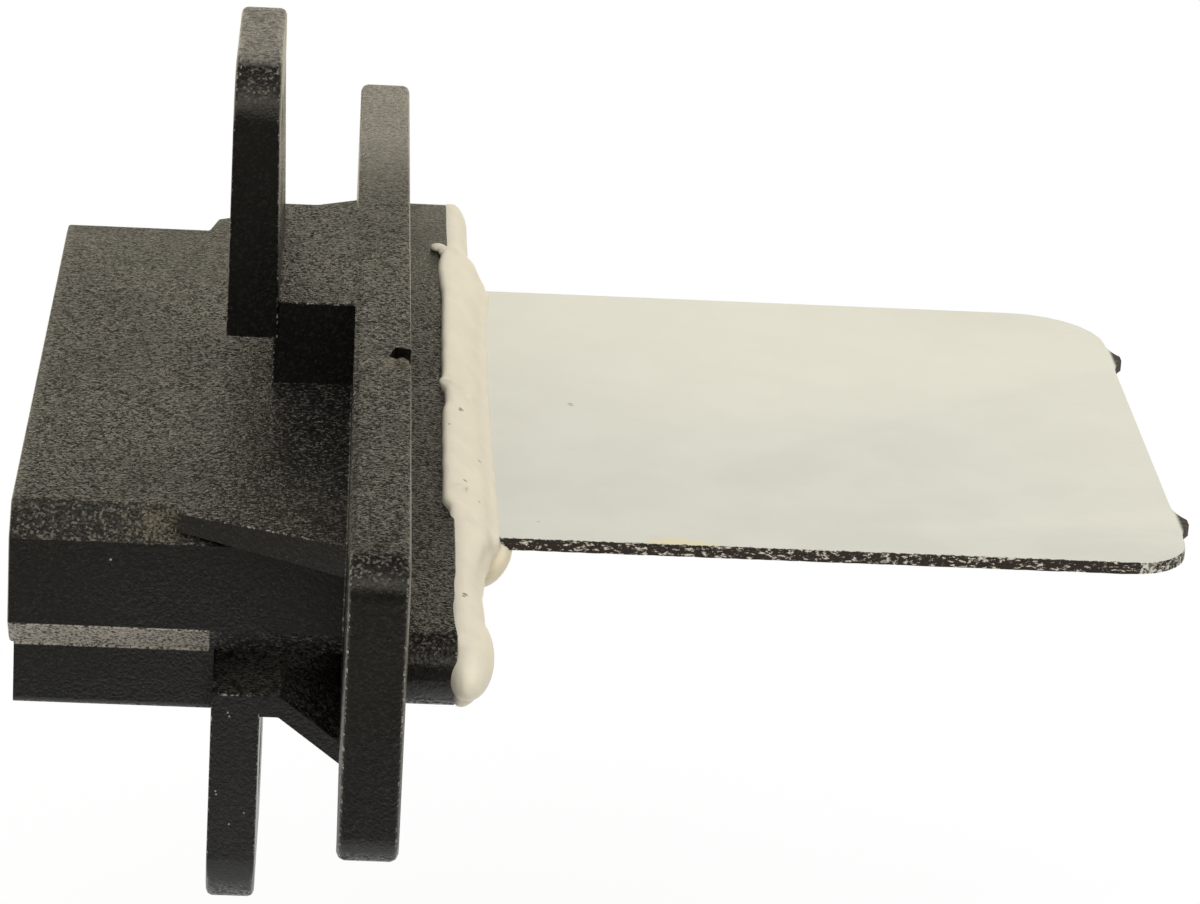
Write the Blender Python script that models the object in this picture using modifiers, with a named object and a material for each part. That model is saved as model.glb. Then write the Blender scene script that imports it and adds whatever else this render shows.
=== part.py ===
"""Blower motor resistor: a moulded connector housing that carries an enamelled resistor card.

Metres, +Z up. The origin is the middle of the flange's seating face. The card lies flat and
stands out along +X, into the air duct; the connector socket opens along -X.
"""
import math

import bmesh
import bpy
from mathutils import Matrix, Vector

MM = 0.001

# Clearances and fine steps
SEAT_GAP = 0.3 * MM
BITE = 0.5 * MM
MOULD_STEP = 0.05 * MM
EDGE_ROUND = 0.4 * MM
RIM_ROUND = 0.2 * MM
OVERRUN = 2.0 * MM

# Flange
FLANGE_THICK = 3.6 * MM
FLANGE_LENGTH = 100.5 * MM
FLANGE_HEIGHT = 19.0 * MM
FLANGE_CORNER = 2.3 * MM
SKIRT_DROP = 2.6 * MM
NICK_WIDTH = 3.3 * MM
NICK_REACH = 1.35 * MM
NICK_DEPTH = 0.9 * MM
NICK_Y = -13.6 * MM

# Shroud: the eight-sided wall round the connector socket
SHROUD_LENGTH = 20.5 * MM
SHROUD_NEAR_MARGIN = 9.7 * MM
SHROUD_FAR_MARGIN = 3.4 * MM
SHROUD_HEIGHT = 9.4 * MM
SHROUD_CHAMFER = 1.9 * MM
SHROUD_TOP = 3.92 * MM
WALL = 1.5 * MM
SOCKET_DEPTH = 15.6 * MM
MOUTH_FLARE = 0.5 * MM

# Key box under the shroud, which the plug's latch runs in
KEY_BOX_DROP = 4.15 * MM
KEY_BOX_CORNER = 0.5 * MM
KEY_BOX_SETBACK = 0.3 * MM
LATCH_WIDTH = 9.0 * MM
LATCH_LENGTH = 3.2 * MM
LATCH_SETBACK = 2.8 * MM

# Screw ears
EAR_THICK = 3.0 * MM
EAR_WIDTH = 19.2 * MM
EAR_CORNER = 4.2 * MM
EAR_SETBACK = 8.55 * MM
EAR_ROUND = 0.25 * MM
SCREW_HOLE = 5.6 * MM
SCREW_HOLE_EDGE = 7.0 * MM
UPPER_EAR_Y = 5.6 * MM
UPPER_EAR_TOP = 25.0 * MM
UPPER_EAR_LIFT = 3.1 * MM
LOWER_EAR_BOTTOM = -22.8 * MM

# Block behind the upper ear, bracket behind the lower ear
BLOCK_WIDTH = 21.5 * MM
BLOCK_TUCK = 0.3 * MM
BRACKET_THICK = 1.4 * MM
BRACKET_GAP = 2.2 * MM
BRACKET_BEND = 7.4 * MM

# Side webs between the shroud and the flange
WEB_START = 14.0 * MM
NEAR_WEB_REACH = 4.1 * MM
NEAR_WEB_TIP = 1.2 * MM
NEAR_WEB_ROOT = 2.1 * MM
FAR_WEB_REACH = 8.8 * MM
FAR_WEB_STEP = 2.4 * MM
FAR_WEB_KNEE = 6.5 * MM
FAR_WEB_KNEE_REACH = 6.9 * MM
FAR_WEB_THICK = 1.4 * MM

# Collar that enters the duct, and the well in it
COLLAR_LENGTH = 3.0 * MM
COLLAR_MARGIN = 6.4 * MM
COLLAR_HEIGHT = 4.5 * MM
COLLAR_WALL = 0.75 * MM
COLLAR_Z = 0.05 * MM
WELL_DEPTH = 2.5 * MM

# Card
CARD_MARGIN = 5.55 * MM
CARD_THICK = 0.75 * MM
CARD_REACH = 49.9 * MM
CARD_ROOT = 6.6 * MM
CARD_Y = 3.05 * MM
CARD_Z = 0.07 * MM
CARD_ROOT_CORNER = 0.8 * MM
CARD_NEAR_CORNER = 4.0 * MM
CARD_FAR_CORNER = 6.2 * MM
NUB_HEIGHT = 0.75 * MM
NUB_FOOT = 6.4 * MM
NUB_TIP = 0.9 * MM
NUB_FAR_SETBACK = 9.2 * MM
NUB_NEAR_SETBACK = 7.7 * MM

# Terminals
TERMINAL_COUNT = 5
TERMINAL_PITCH = 9.5 * MM
BLADE_WIDTH = 6.3 * MM
BLADE_THICK = 0.8 * MM
BLADE_LENGTH = 10.1 * MM
BLADE_LEAD_IN = 1.1 * MM
BLADE_EDGE_ROUND = 0.16 * MM
BLADE_DETENT = 1.6 * MM
BLADE_DETENT_SETBACK = 3.6 * MM
TAIL_WIDTH = 3.0 * MM
TAIL_END = 3.4 * MM

# Printed circuit on the card's underside
PRINT_THICK = 0.06 * MM
PAD_WIDTH = 3.6 * MM
PAD_START = 6.0 * MM
RAIL_X = 10.6 * MM
RAIL_WIDTH = 1.8 * MM
TRACK_WIDTH = 2.2 * MM
TRACK_REACH = 45.0 * MM
TRACK_SPREAD = 4.9 * MM

# Thermal cut-out
FUSE_DIAMETER = 3.8 * MM
FUSE_LENGTH = 9.4 * MM
FUSE_CORNER = 0.475 * MM
FUSE_SEAL_LENGTH = 2.2 * MM
FUSE_SEAL_ROOT = 1.48 * MM
FUSE_SEAL_NECK = 1.14 * MM
FUSE_SEAL_NECK_HEIGHT = 1.0 * MM
FUSE_SEAL_TIP = 0.64 * MM
FUSE_STANDOFF = 0.6 * MM
FUSE_X = 25.5 * MM
LEAD_DIAMETER = 0.8 * MM
LEAD_STRAIGHT = 1.2 * MM
LEAD_BEND = 2.4 * MM
LEAD_FOOT = 2.0 * MM

# Solder joints
JOINT_LENGTH = 2.0 * MM
JOINT_WIDTH = 2.4 * MM
JOINT_HEIGHT = 0.55 * MM
JOINT_CUT = 0.2

# Sealant bead round the card's root
SEAL_FAR_INSET = 0.25 * MM
SEAL_OVERHANG = 2.75 * MM
SEAL_LIP = 0.65 * MM
SEAL_LIP_LEAN = 0.9
SEAL_RISE = 0.45 * MM
SEAL_SAG = 0.5 * MM
SEAL_BEAD = 2.9 * MM
SEAL_BLOB = 1.8 * MM
SEAL_THIN = 1.4 * MM
SEAL_FILLET = 0.6 * MM
SEAL_FILLET_SPREAD = 4.0 * MM
SEAL_WAIST_SETBACK = 9.0 * MM
SEAL_WAIST_SPREAD = 4.5 * MM
SEAL_BLOB_SETBACK = 6.0 * MM
SEAL_BLOB_SPREAD = 4.0 * MM
SEAL_RIPPLE = 0.12 * MM
SEAL_RIPPLE_PITCH = 17.0 * MM
SEAL_END_ROUND = 4.0 * MM
SEAL_END_SWELL = 0.12
SEAL_STATIONS = 34
SEAL_RING = 9
SEAL_FULLNESS = 0.7

# Places that follow from the sizes above
TERMINAL_SPAN = TERMINAL_PITCH * (TERMINAL_COUNT - 1)
CARD_WIDTH = TERMINAL_SPAN + 2 * CARD_MARGIN
CARD_NEAR = CARD_Y - CARD_WIDTH / 2
CARD_FAR = CARD_Y + CARD_WIDTH / 2
CARD_TOP = CARD_Z + CARD_THICK / 2
CARD_UNDER = CARD_Z - CARD_THICK / 2
CARD_POCKET_BASE = -CARD_ROOT - SEAT_GAP
PRINT_TOP = CARD_UNDER - SEAT_GAP
PRINT_UNDER = PRINT_TOP - PRINT_THICK
BLADE_TOP = PRINT_UNDER - SEAT_GAP
BLADE_UNDER = BLADE_TOP - BLADE_THICK
SOCKET_FACE = -FLANGE_THICK
MOUTH = SOCKET_FACE - SHROUD_LENGTH
SOCKET_BASE = MOUTH + SOCKET_DEPTH
SHROUD_BOTTOM = SHROUD_TOP - SHROUD_HEIGHT
SHROUD_NEAR = CARD_Y - (TERMINAL_SPAN + BLADE_WIDTH) / 2 - SHROUD_NEAR_MARGIN
SHROUD_FAR = CARD_Y + (TERMINAL_SPAN + BLADE_WIDTH) / 2 + SHROUD_FAR_MARGIN
SHROUD_WIDTH = SHROUD_FAR - SHROUD_NEAR
SHROUD_Y = (SHROUD_FAR + SHROUD_NEAR) / 2
KEY_BOX_BOTTOM = SHROUD_BOTTOM - KEY_BOX_DROP
KEY_BOX_WIDTH = SHROUD_WIDTH - 2 * SHROUD_CHAMFER - 2 * MOULD_STEP
EAR_FRONT = -EAR_SETBACK
EAR_BACK = EAR_FRONT - EAR_THICK
LOWER_EAR_TOP = SHROUD_BOTTOM - BRACKET_GAP
LOWER_EAR_Y = SHROUD_NEAR + EAR_WIDTH / 2
SKIRT_BOTTOM = -FLANGE_HEIGHT / 2 - SKIRT_DROP
COLLAR_WIDTH = FLANGE_LENGTH - 2 * COLLAR_MARGIN
COLLAR_TOP = COLLAR_Z + COLLAR_HEIGHT / 2
COLLAR_UNDER = COLLAR_Z - COLLAR_HEIGHT / 2
SEAL_FAR_Y = COLLAR_WIDTH / 2 - SEAL_FAR_INSET
SEAL_NEAR_Y = -COLLAR_WIDTH / 2 - SEAL_OVERHANG

# How a flat outline is turned: its u and v directions and the way it is filled
ALONG = {
    "X": Matrix(((0, 0, 1), (1, 0, 0), (0, 1, 0))).to_4x4(),
    "Y": Matrix(((1, 0, 0), (0, 0, -1), (0, 1, 0))).to_4x4(),
    "Z": Matrix.Identity(4),
}


def clear_scene():
    """Remove everything that a new scene starts with."""
    for old in list(bpy.data.objects):
        bpy.data.objects.remove(old, do_unlink=True)


def new_collection(name):
    """A collection linked to the scene."""
    collection = bpy.data.collections.new(name)
    bpy.context.scene.collection.children.link(collection)
    return collection


def material(name, colour, roughness, metallic=0.0):
    """A Principled material of one plain finish."""
    finish = bpy.data.materials.new(name)
    finish.use_nodes = True
    shader = finish.node_tree.nodes["Principled BSDF"]
    shader.inputs["Base Color"].default_value = (*colour, 1.0)
    shader.inputs["Roughness"].default_value = roughness
    shader.inputs["Metallic"].default_value = metallic
    finish.diffuse_color = (*colour, 1.0)
    return finish


def place_in(made, collection, finish=None):
    """Link an object to its collection and give it its material."""
    collection.objects.link(made)
    if finish is not None:
        made.data.materials.append(finish)
    return made


def round_off(made, angle=math.radians(35)):
    """Shade a round piece smooth, with its real edges kept sharp."""
    made.data.shade_smooth()
    made.data.set_sharp_from_angle(angle=angle)
    return made


def outline(corners, steps=7):
    """Points of a closed outline from (u, v, radius) corners, listed anticlockwise."""
    points = []
    count = len(corners)
    for index, (u, v, radius) in enumerate(corners):
        here = Vector((u, v))
        if radius <= 0:
            points.append((u, v))
            continue
        before = Vector(corners[index - 1][:2]) - here
        after = Vector(corners[(index + 1) % count][:2]) - here
        half = before.angle(after) / 2
        reach = radius / math.tan(half)
        centre = here + (before.normalized() + after.normalized()).normalized() * radius / math.sin(half)
        start = here + before.normalized() * reach - centre
        turn = math.pi - 2 * half
        if before.cross(after) > 0:
            turn = -turn
        for step in range(steps + 1):
            spot = Matrix.Rotation(turn * step / steps, 2) @ start + centre
            points.append((spot.x, spot.y))
    return points


def rectangle(u_low, u_high, v_low, v_high, low_radius=0.0, high_radius=0.0):
    """Outline of a rectangle with its lower and its upper corners rounded."""
    return outline([
        (u_low, v_low, low_radius),
        (u_high, v_low, low_radius),
        (u_high, v_high, high_radius),
        (u_low, v_high, high_radius),
    ])


def octagon(u_low, u_high, v_low, v_high, chamfer):
    """Outline of a rectangle whose four corners are cut at 45 degrees."""
    return [
        (u_low + chamfer, v_low),
        (u_high - chamfer, v_low),
        (u_high, v_low + chamfer),
        (u_high, v_high - chamfer),
        (u_high - chamfer, v_high),
        (u_low + chamfer, v_high),
        (u_low, v_high - chamfer),
        (u_low, v_low + chamfer),
    ]


def circle(u, v, radius, steps=36):
    """Outline of a circle."""
    turns = [2 * math.pi * step / steps for step in range(steps)]
    return [(u + radius * math.cos(turn), v + radius * math.sin(turn)) for turn in turns]


def extruded(name, outlines, along, low, high):
    """A flat outline, its first loop with any holes after it, filled from low to high."""
    curve = bpy.data.curves.new(name, "CURVE")
    curve.dimensions = "2D"
    curve.fill_mode = "BOTH"
    curve.extrude = (high - low) / 2
    for points in outlines:
        spline = curve.splines.new("POLY")
        spline.points.add(len(points) - 1)
        spline.use_cyclic_u = True
        for point, (u, v) in zip(spline.points, points):
            point.co = (u, v, 0, 1)
    drawn = bpy.data.objects.new(name + "_outline", curve)
    bpy.context.scene.collection.objects.link(drawn)
    middle = Vector((0, 0, (low + high) / 2))
    if along == "Y":
        middle.z = -middle.z
    drawn.matrix_world = ALONG[along] @ Matrix.Translation(middle)
    bpy.context.view_layer.update()
    mesh = bpy.data.meshes.new_from_object(drawn.evaluated_get(bpy.context.evaluated_depsgraph_get()))
    shape = bmesh.new()
    shape.from_mesh(mesh)
    bmesh.ops.remove_doubles(shape, verts=shape.verts, dist=0.000001)
    bmesh.ops.recalc_face_normals(shape, faces=shape.faces)
    shape.to_mesh(mesh)
    shape.free()
    mesh.name = name
    made = bpy.data.objects.new(name, mesh)
    made.matrix_world = drawn.matrix_world
    bpy.data.objects.remove(drawn, do_unlink=True)
    return made


def block(name, low, high):
    """A plain box between two corners."""
    mesh = bpy.data.meshes.new(name)
    shape = bmesh.new()
    bmesh.ops.create_cube(shape, size=1.0)
    for vertex in shape.verts:
        vertex.co = [low[i] if vertex.co[i] < 0 else high[i] for i in range(3)]
    shape.to_mesh(mesh)
    shape.free()
    return bpy.data.objects.new(name, mesh)


def soften(made, width=EDGE_ROUND, segments=2):
    """Round the square edges of a moulded form."""
    bevel = made.modifiers.new("edge_round", "BEVEL")
    bevel.width = width
    bevel.segments = segments
    bevel.limit_method = "ANGLE"
    bevel.angle_limit = math.radians(50)
    return made


def combine(body, operation, name, guides):
    """Join a body with a collection of forms, or cut them out of it; they stay as guides."""
    collection = new_collection(name)
    for guide in guides:
        collection.objects.link(guide)
        guide.hide_render = True
        guide.display_type = "WIRE"
    change = body.modifiers.new(name, "BOOLEAN")
    change.operation = operation
    change.operand_type = "COLLECTION"
    change.collection = collection
    change.solver = "EXACT"


def turned(name, profile, steps=28):
    """A turned shape from (radius, height) points that run down its outer side."""
    mesh = bpy.data.meshes.new(name)
    mesh.from_pydata([(radius, 0, height) for radius, height in profile],
                     [(i, i + 1) for i in range(len(profile) - 1)], [])
    made = bpy.data.objects.new(name, mesh)
    screw = made.modifiers.new("turn", "SCREW")
    screw.steps = steps
    screw.render_steps = steps
    screw.use_merge_vertices = True
    screw.merge_threshold = 0.00001
    screw.use_smooth_shade = True
    return made


def flange_forms():
    """The flange plate, its deeper middle and the collar that enters the duct."""
    plate = extruded("flange_plate", [rectangle(
        -FLANGE_LENGTH / 2, FLANGE_LENGTH / 2, -FLANGE_HEIGHT / 2, FLANGE_HEIGHT / 2,
        FLANGE_CORNER, FLANGE_CORNER)], "X", SOCKET_FACE, 0)
    skirt = extruded("flange_skirt", [rectangle(
        SHROUD_NEAR, SHROUD_FAR, SKIRT_BOTTOM, 0)], "X", SOCKET_FACE + MOULD_STEP, -MOULD_STEP)
    end = COLLAR_HEIGHT / 2
    collar = extruded("collar", [rectangle(
        -COLLAR_WIDTH / 2, COLLAR_WIDTH / 2, COLLAR_Z - end, COLLAR_Z + end,
        end - MOULD_STEP, end - MOULD_STEP)], "X", -BITE, COLLAR_LENGTH)
    return soften(plate), skirt, collar


def socket_forms():
    """The shroud, and the key box under it."""
    shroud = extruded("shroud", [octagon(
        SHROUD_NEAR, SHROUD_FAR, SHROUD_BOTTOM, SHROUD_TOP, SHROUD_CHAMFER)],
        "X", MOUTH, SOCKET_FACE + BITE)
    half = KEY_BOX_WIDTH / 2
    key_box = extruded("key_box", [rectangle(
        SHROUD_Y - half, SHROUD_Y + half, KEY_BOX_BOTTOM, SHROUD_BOTTOM + WALL, KEY_BOX_CORNER)],
        "X", MOUTH + KEY_BOX_SETBACK, EAR_BACK + MOULD_STEP)
    return soften(shroud, RIM_ROUND), soften(key_box, RIM_ROUND)


def ear_forms():
    """The two screw ears, with the block and the bracket that carry them."""
    half = EAR_WIDTH / 2
    upper_foot = SHROUD_TOP + UPPER_EAR_LIFT
    upper = extruded("upper_ear", [rectangle(
        UPPER_EAR_Y - half, UPPER_EAR_Y + half, upper_foot, UPPER_EAR_TOP, 0, EAR_CORNER)],
        "X", EAR_BACK, EAR_FRONT)
    lower = extruded("lower_ear", [rectangle(
        LOWER_EAR_Y - half, LOWER_EAR_Y + half, LOWER_EAR_BOTTOM, LOWER_EAR_TOP, EAR_CORNER, 0)],
        "X", EAR_BACK, EAR_FRONT)
    block_near = UPPER_EAR_Y - half + BLOCK_TUCK
    ear_block = block(
        "ear_block",
        (EAR_FRONT - BLOCK_TUCK, block_near, SHROUD_TOP - BITE),
        (SOCKET_FACE + BITE, block_near + BLOCK_WIDTH, FLANGE_HEIGHT / 2 - MOULD_STEP))
    bar_top = LOWER_EAR_TOP - MOULD_STEP
    foot = SKIRT_BOTTOM + MOULD_STEP
    bracket = extruded("ear_bracket", [[
        (EAR_FRONT - BITE, bar_top - BRACKET_THICK),
        (-BRACKET_BEND, bar_top - BRACKET_THICK),
        (SOCKET_FACE, foot),
        (SOCKET_FACE + BITE, foot),
        (SOCKET_FACE + BITE, foot + BRACKET_THICK),
        (SOCKET_FACE, foot + BRACKET_THICK),
        (-BRACKET_BEND, bar_top),
        (EAR_FRONT - BITE, bar_top),
    ]], "Y", LOWER_EAR_Y - half + MOULD_STEP, LOWER_EAR_Y + half - MOULD_STEP)
    return soften(upper, EAR_ROUND), soften(lower, EAR_ROUND), soften(ear_block, RIM_ROUND / 2), bracket


def web_forms():
    """The thin webs that brace the flange from the shroud's two sides."""
    tip_y = SHROUD_NEAR + BITE
    inner_y = SHROUD_NEAR + SHROUD_CHAMFER
    near = extruded("near_web", [[
        (-WEB_START, tip_y),
        (SOCKET_FACE + BITE, SHROUD_NEAR - NEAR_WEB_REACH),
        (SOCKET_FACE + BITE, inner_y),
        (-WEB_START, inner_y),
    ]], "Z", SHROUD_TOP - NEAR_WEB_ROOT, SHROUD_TOP)
    tip_lift = NEAR_WEB_ROOT - NEAR_WEB_TIP
    length = WEB_START + SOCKET_FACE
    middle = SHROUD_TOP - NEAR_WEB_ROOT / 2
    for vertex in near.data.vertices:
        if vertex.co.z + near.matrix_world.translation.z < middle:
            vertex.co.z += tip_lift * min(1.0, (SOCKET_FACE - vertex.co.x) / length)
    far = extruded("far_web", [[
        (-WEB_START, SHROUD_FAR - SHROUD_CHAMFER),
        (SOCKET_FACE + BITE, SHROUD_FAR - SHROUD_CHAMFER),
        (SOCKET_FACE + BITE, SHROUD_FAR + FAR_WEB_REACH),
        (-FAR_WEB_KNEE, SHROUD_FAR + FAR_WEB_KNEE_REACH),
        (-WEB_START + BITE, SHROUD_FAR + FAR_WEB_STEP),
        (-WEB_START, SHROUD_FAR),
    ]], "Z", SHROUD_TOP - FAR_WEB_THICK, SHROUD_TOP)
    return near, far


def socket_cutters():
    """The socket, the key box's bay, the flared mouth and the window for the plug's latch."""
    socket = extruded("socket", [octagon(
        SHROUD_NEAR + WALL, SHROUD_FAR - WALL, SHROUD_BOTTOM + WALL, SHROUD_TOP - WALL,
        inner_chamfer())], "X", MOUTH - OVERRUN, SOCKET_BASE)
    half = KEY_BOX_WIDTH / 2 - WALL
    bay = extruded("key_bay", [rectangle(
        SHROUD_Y - half, SHROUD_Y + half, KEY_BOX_BOTTOM + WALL, SHROUD_BOTTOM + WALL + BITE)],
        "X", MOUTH - OVERRUN, EAR_BACK - WALL)
    window_start = MOUTH + KEY_BOX_SETBACK + LATCH_SETBACK
    window = block(
        "latch_window",
        (window_start, SHROUD_Y - LATCH_WIDTH / 2, KEY_BOX_BOTTOM - OVERRUN),
        (window_start + LATCH_LENGTH, SHROUD_Y + LATCH_WIDTH / 2, KEY_BOX_BOTTOM + WALL + BITE))
    return socket, mouth_flare(), bay, window


def inner_chamfer():
    """The socket's chamfer, for a wall of even thickness round the shroud's chamfer."""
    return SHROUD_CHAMFER - WALL * (2 - math.sqrt(2))


def mouth_flare():
    """A cutter that widens the socket's mouth, as lead-in for the plug."""
    flare = extruded("mouth_flare", [octagon(
        SHROUD_NEAR + WALL, SHROUD_FAR - WALL, SHROUD_BOTTOM + WALL, SHROUD_TOP - WALL,
        inner_chamfer())], "X", MOUTH - MOUTH_FLARE, MOUTH + MOUTH_FLARE)
    centre_z = (SHROUD_BOTTOM + SHROUD_TOP) / 2
    width = SHROUD_WIDTH - 2 * WALL
    height = SHROUD_HEIGHT - 2 * WALL
    for vertex in flare.data.vertices:
        if vertex.co.z < 0:
            vertex.co.x = SHROUD_Y + (vertex.co.x - SHROUD_Y) * (width + 4 * MOUTH_FLARE) / width
            vertex.co.y = centre_z + (vertex.co.y - centre_z) * (height + 4 * MOUTH_FLARE) / height
    return flare


def card_cutters():
    """The pocket that takes the card's root, and the well round it that is filled with sealant."""
    pocket = block(
        "card_pocket",
        (CARD_POCKET_BASE, CARD_NEAR - SEAT_GAP, PRINT_UNDER - SEAT_GAP),
        (COLLAR_LENGTH + OVERRUN, CARD_FAR + SEAT_GAP, CARD_TOP + SEAT_GAP))
    return pocket, well_form("well", COLLAR_WALL, COLLAR_LENGTH - WELL_DEPTH, COLLAR_LENGTH + OVERRUN)


def well_form(name, inset, low, high):
    """The collar's outline drawn in by an inset, filled from low to high."""
    end = COLLAR_HEIGHT / 2 - inset
    half = COLLAR_WIDTH / 2 - inset
    return extruded(name, [rectangle(
        -half, half, COLLAR_Z - end, COLLAR_Z + end, end - MOULD_STEP, end - MOULD_STEP)],
        "X", low, high)


def terminal_places():
    """The middle of each terminal, spread evenly about the card's middle."""
    first = CARD_Y - TERMINAL_SPAN / 2
    return [first + TERMINAL_PITCH * index for index in range(TERMINAL_COUNT)]


def terminal_cutters():
    """For each terminal, a slot through the socket's base and a channel for its tail."""
    cutters = []
    for index, y in enumerate(terminal_places(), start=1):
        half = BLADE_WIDTH / 2 + SEAT_GAP
        cutters.append(block(
            f"blade_slot_{index}",
            (SOCKET_BASE - BITE, y - half, BLADE_UNDER - SEAT_GAP),
            (CARD_POCKET_BASE + BITE, y + half, BLADE_TOP + SEAT_GAP)))
        half = TAIL_WIDTH / 2 + SEAT_GAP
        cutters.append(block(
            f"tail_channel_{index}",
            (CARD_POCKET_BASE, y - half, BLADE_UNDER - SEAT_GAP),
            (-SEAT_GAP - BITE, y + half, BLADE_TOP + SEAT_GAP + BITE)))
    return cutters


def screw_cutters():
    """The screw hole through each ear."""
    places = [
        ("upper_screw_hole", UPPER_EAR_Y, UPPER_EAR_TOP - SCREW_HOLE_EDGE),
        ("lower_screw_hole", LOWER_EAR_Y, LOWER_EAR_BOTTOM + SCREW_HOLE_EDGE),
    ]
    return [extruded(name, [circle(y, z, SCREW_HOLE / 2)], "X", EAR_BACK - OVERRUN, EAR_FRONT + OVERRUN)
            for name, y, z in places]


def nick_cutter():
    """The chipped place on the flange's upper edge, deepest at its two inner ends."""
    top = FLANGE_HEIGHT / 2
    jags = [(1.0, -0.1), (0.45, -0.55), (0.3, -1.0), (-0.3, -0.95), (-0.3, 0.7), (0.25, 0.85), (0.8, 1.0)]
    points = [(-NICK_REACH * depth, NICK_Y + NICK_WIDTH / 2 * side) for depth, side in jags]
    return extruded("chipped_edge", [points], "Z", top - NICK_DEPTH, top + OVERRUN)


def make_housing(parts):
    """The one-piece black moulding: flange, collar, socket, ears, block, bracket and webs."""
    housing, skirt, collar = flange_forms()
    housing.name = "housing"
    housing.data.name = "housing"
    place_in(housing, parts, material("black_nylon", (0.018, 0.017, 0.014), 0.38))
    forms = [skirt, *socket_forms(), *ear_forms(), *web_forms(), collar]
    cuts = [*socket_cutters(), *card_cutters(), *terminal_cutters(), *screw_cutters(), nick_cutter()]
    combine(housing, "UNION", "housing_forms", forms)
    combine(housing, "DIFFERENCE", "housing_cutters", cuts)


def nub(centre):
    """Points of a break-off nub on the card's outer edge, from its near foot to its far foot."""
    points = []
    steps = 6
    reach = (NUB_FOOT - NUB_TIP) / 2
    for step in range(steps + 1):
        share = step / steps
        points.append((CARD_REACH + NUB_HEIGHT * share ** 2.4, centre - NUB_FOOT / 2 + reach * share, 0))
    mirrored = [(x, 2 * centre - y, 0) for x, y, _ in reversed(points)]
    return points + mirrored


def make_card(parts):
    """The enamelled steel card, with rounded outer corners and two break-off nubs."""
    corners = [
        (-CARD_ROOT, CARD_NEAR, CARD_ROOT_CORNER),
        (CARD_REACH, CARD_NEAR, CARD_NEAR_CORNER),
        *nub(CARD_NEAR + NUB_NEAR_SETBACK),
        *nub(CARD_FAR - NUB_FAR_SETBACK),
        (CARD_REACH, CARD_FAR, CARD_FAR_CORNER),
        (-CARD_ROOT, CARD_FAR, CARD_ROOT_CORNER),
    ]
    card = extruded("card", [outline(corners)], "Z", CARD_UNDER, CARD_TOP)
    place_in(card, parts, material("card_enamel", (0.71, 0.69, 0.60), 0.35))


def make_terminals(parts):
    """Five flat blades with tapered tips, each with a narrow tail soldered under the card."""
    finish = material("tinned_brass", (0.72, 0.69, 0.62), 0.3, 1.0)
    tip = SOCKET_BASE - BLADE_LENGTH
    shoulder = CARD_POCKET_BASE - SEAT_GAP
    half = BLADE_WIDTH / 2
    tail = TAIL_WIDTH / 2
    for index, y in enumerate(terminal_places(), start=1):
        blade = [
            (tip, y - half + BLADE_LEAD_IN),
            (tip + BLADE_LEAD_IN, y - half),
            (shoulder, y - half),
            (shoulder, y - tail),
            (-TAIL_END, y - tail),
            (-TAIL_END, y + tail),
            (shoulder, y + tail),
            (shoulder, y + half),
            (tip + BLADE_LEAD_IN, y + half),
            (tip, y + half - BLADE_LEAD_IN),
        ]
        detent = circle(tip + BLADE_DETENT_SETBACK, y, BLADE_DETENT / 2, steps=20)
        terminal = extruded(f"terminal_{index}", [blade, detent], "Z", BLADE_UNDER, BLADE_TOP)
        place_in(soften(terminal, BLADE_EDGE_ROUND, 1), parts, finish)


def print_shape(name, points, parts, finish):
    """One island of the thick film that is printed on the card's underside."""
    island = extruded(name, [points], "Z", PRINT_UNDER, PRINT_TOP)
    place_in(island, parts, finish)


def track_legs(lane):
    """The two lines of a hairpin track in the lane between two neighbouring terminals."""
    places = terminal_places()
    middle = (places[lane] + places[lane + 1]) / 2
    return middle - TRACK_SPREAD / 2, middle + TRACK_SPREAD / 2


def make_conductors(parts):
    """Silver conductors: one from each terminal to its tracks, and one beyond the cut-out."""
    finish = material("silver_print", (0.55, 0.55, 0.53), 0.45, 0.6)
    places = terminal_places()
    half = PAD_WIDTH / 2
    last = TERMINAL_COUNT - 1
    rail_end = RAIL_X + RAIL_WIDTH
    for index, y in enumerate(places):
        low = y - half if index == 0 else track_legs(index - 1)[1] - TRACK_WIDTH / 2
        high = y + half if index == last else track_legs(index)[0] + TRACK_WIDTH / 2
        if index == last:
            low = y - half
            rail_end = fuse_pad_x(-1) + LEAD_FOOT
        points = outline([
            (-PAD_START, y - half, 0),
            (RAIL_X, y - half, 0),
            (RAIL_X, low, 0),
            (rail_end, low, 0),
            (rail_end, high, 0),
            (RAIL_X, high, 0),
            (RAIL_X, y + half, 0),
            (-PAD_START, y + half, 0),
        ] if index != last else [
            (-PAD_START, low, 0),
            (rail_end, low, 0),
            (rail_end, high, 0),
            (-PAD_START, high, 0),
        ])
        print_shape(f"conductor_{index + 1}", points, parts, finish)
    link_low = fuse_pad_x(1) - LEAD_FOOT
    leg = track_legs(last - 1)[0]
    link = rectangle(link_low, link_low + 2 * LEAD_FOOT, leg - TRACK_WIDTH / 2, places[-1] + half)
    print_shape(f"conductor_{TERMINAL_COUNT + 1}", link, parts, finish)


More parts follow.
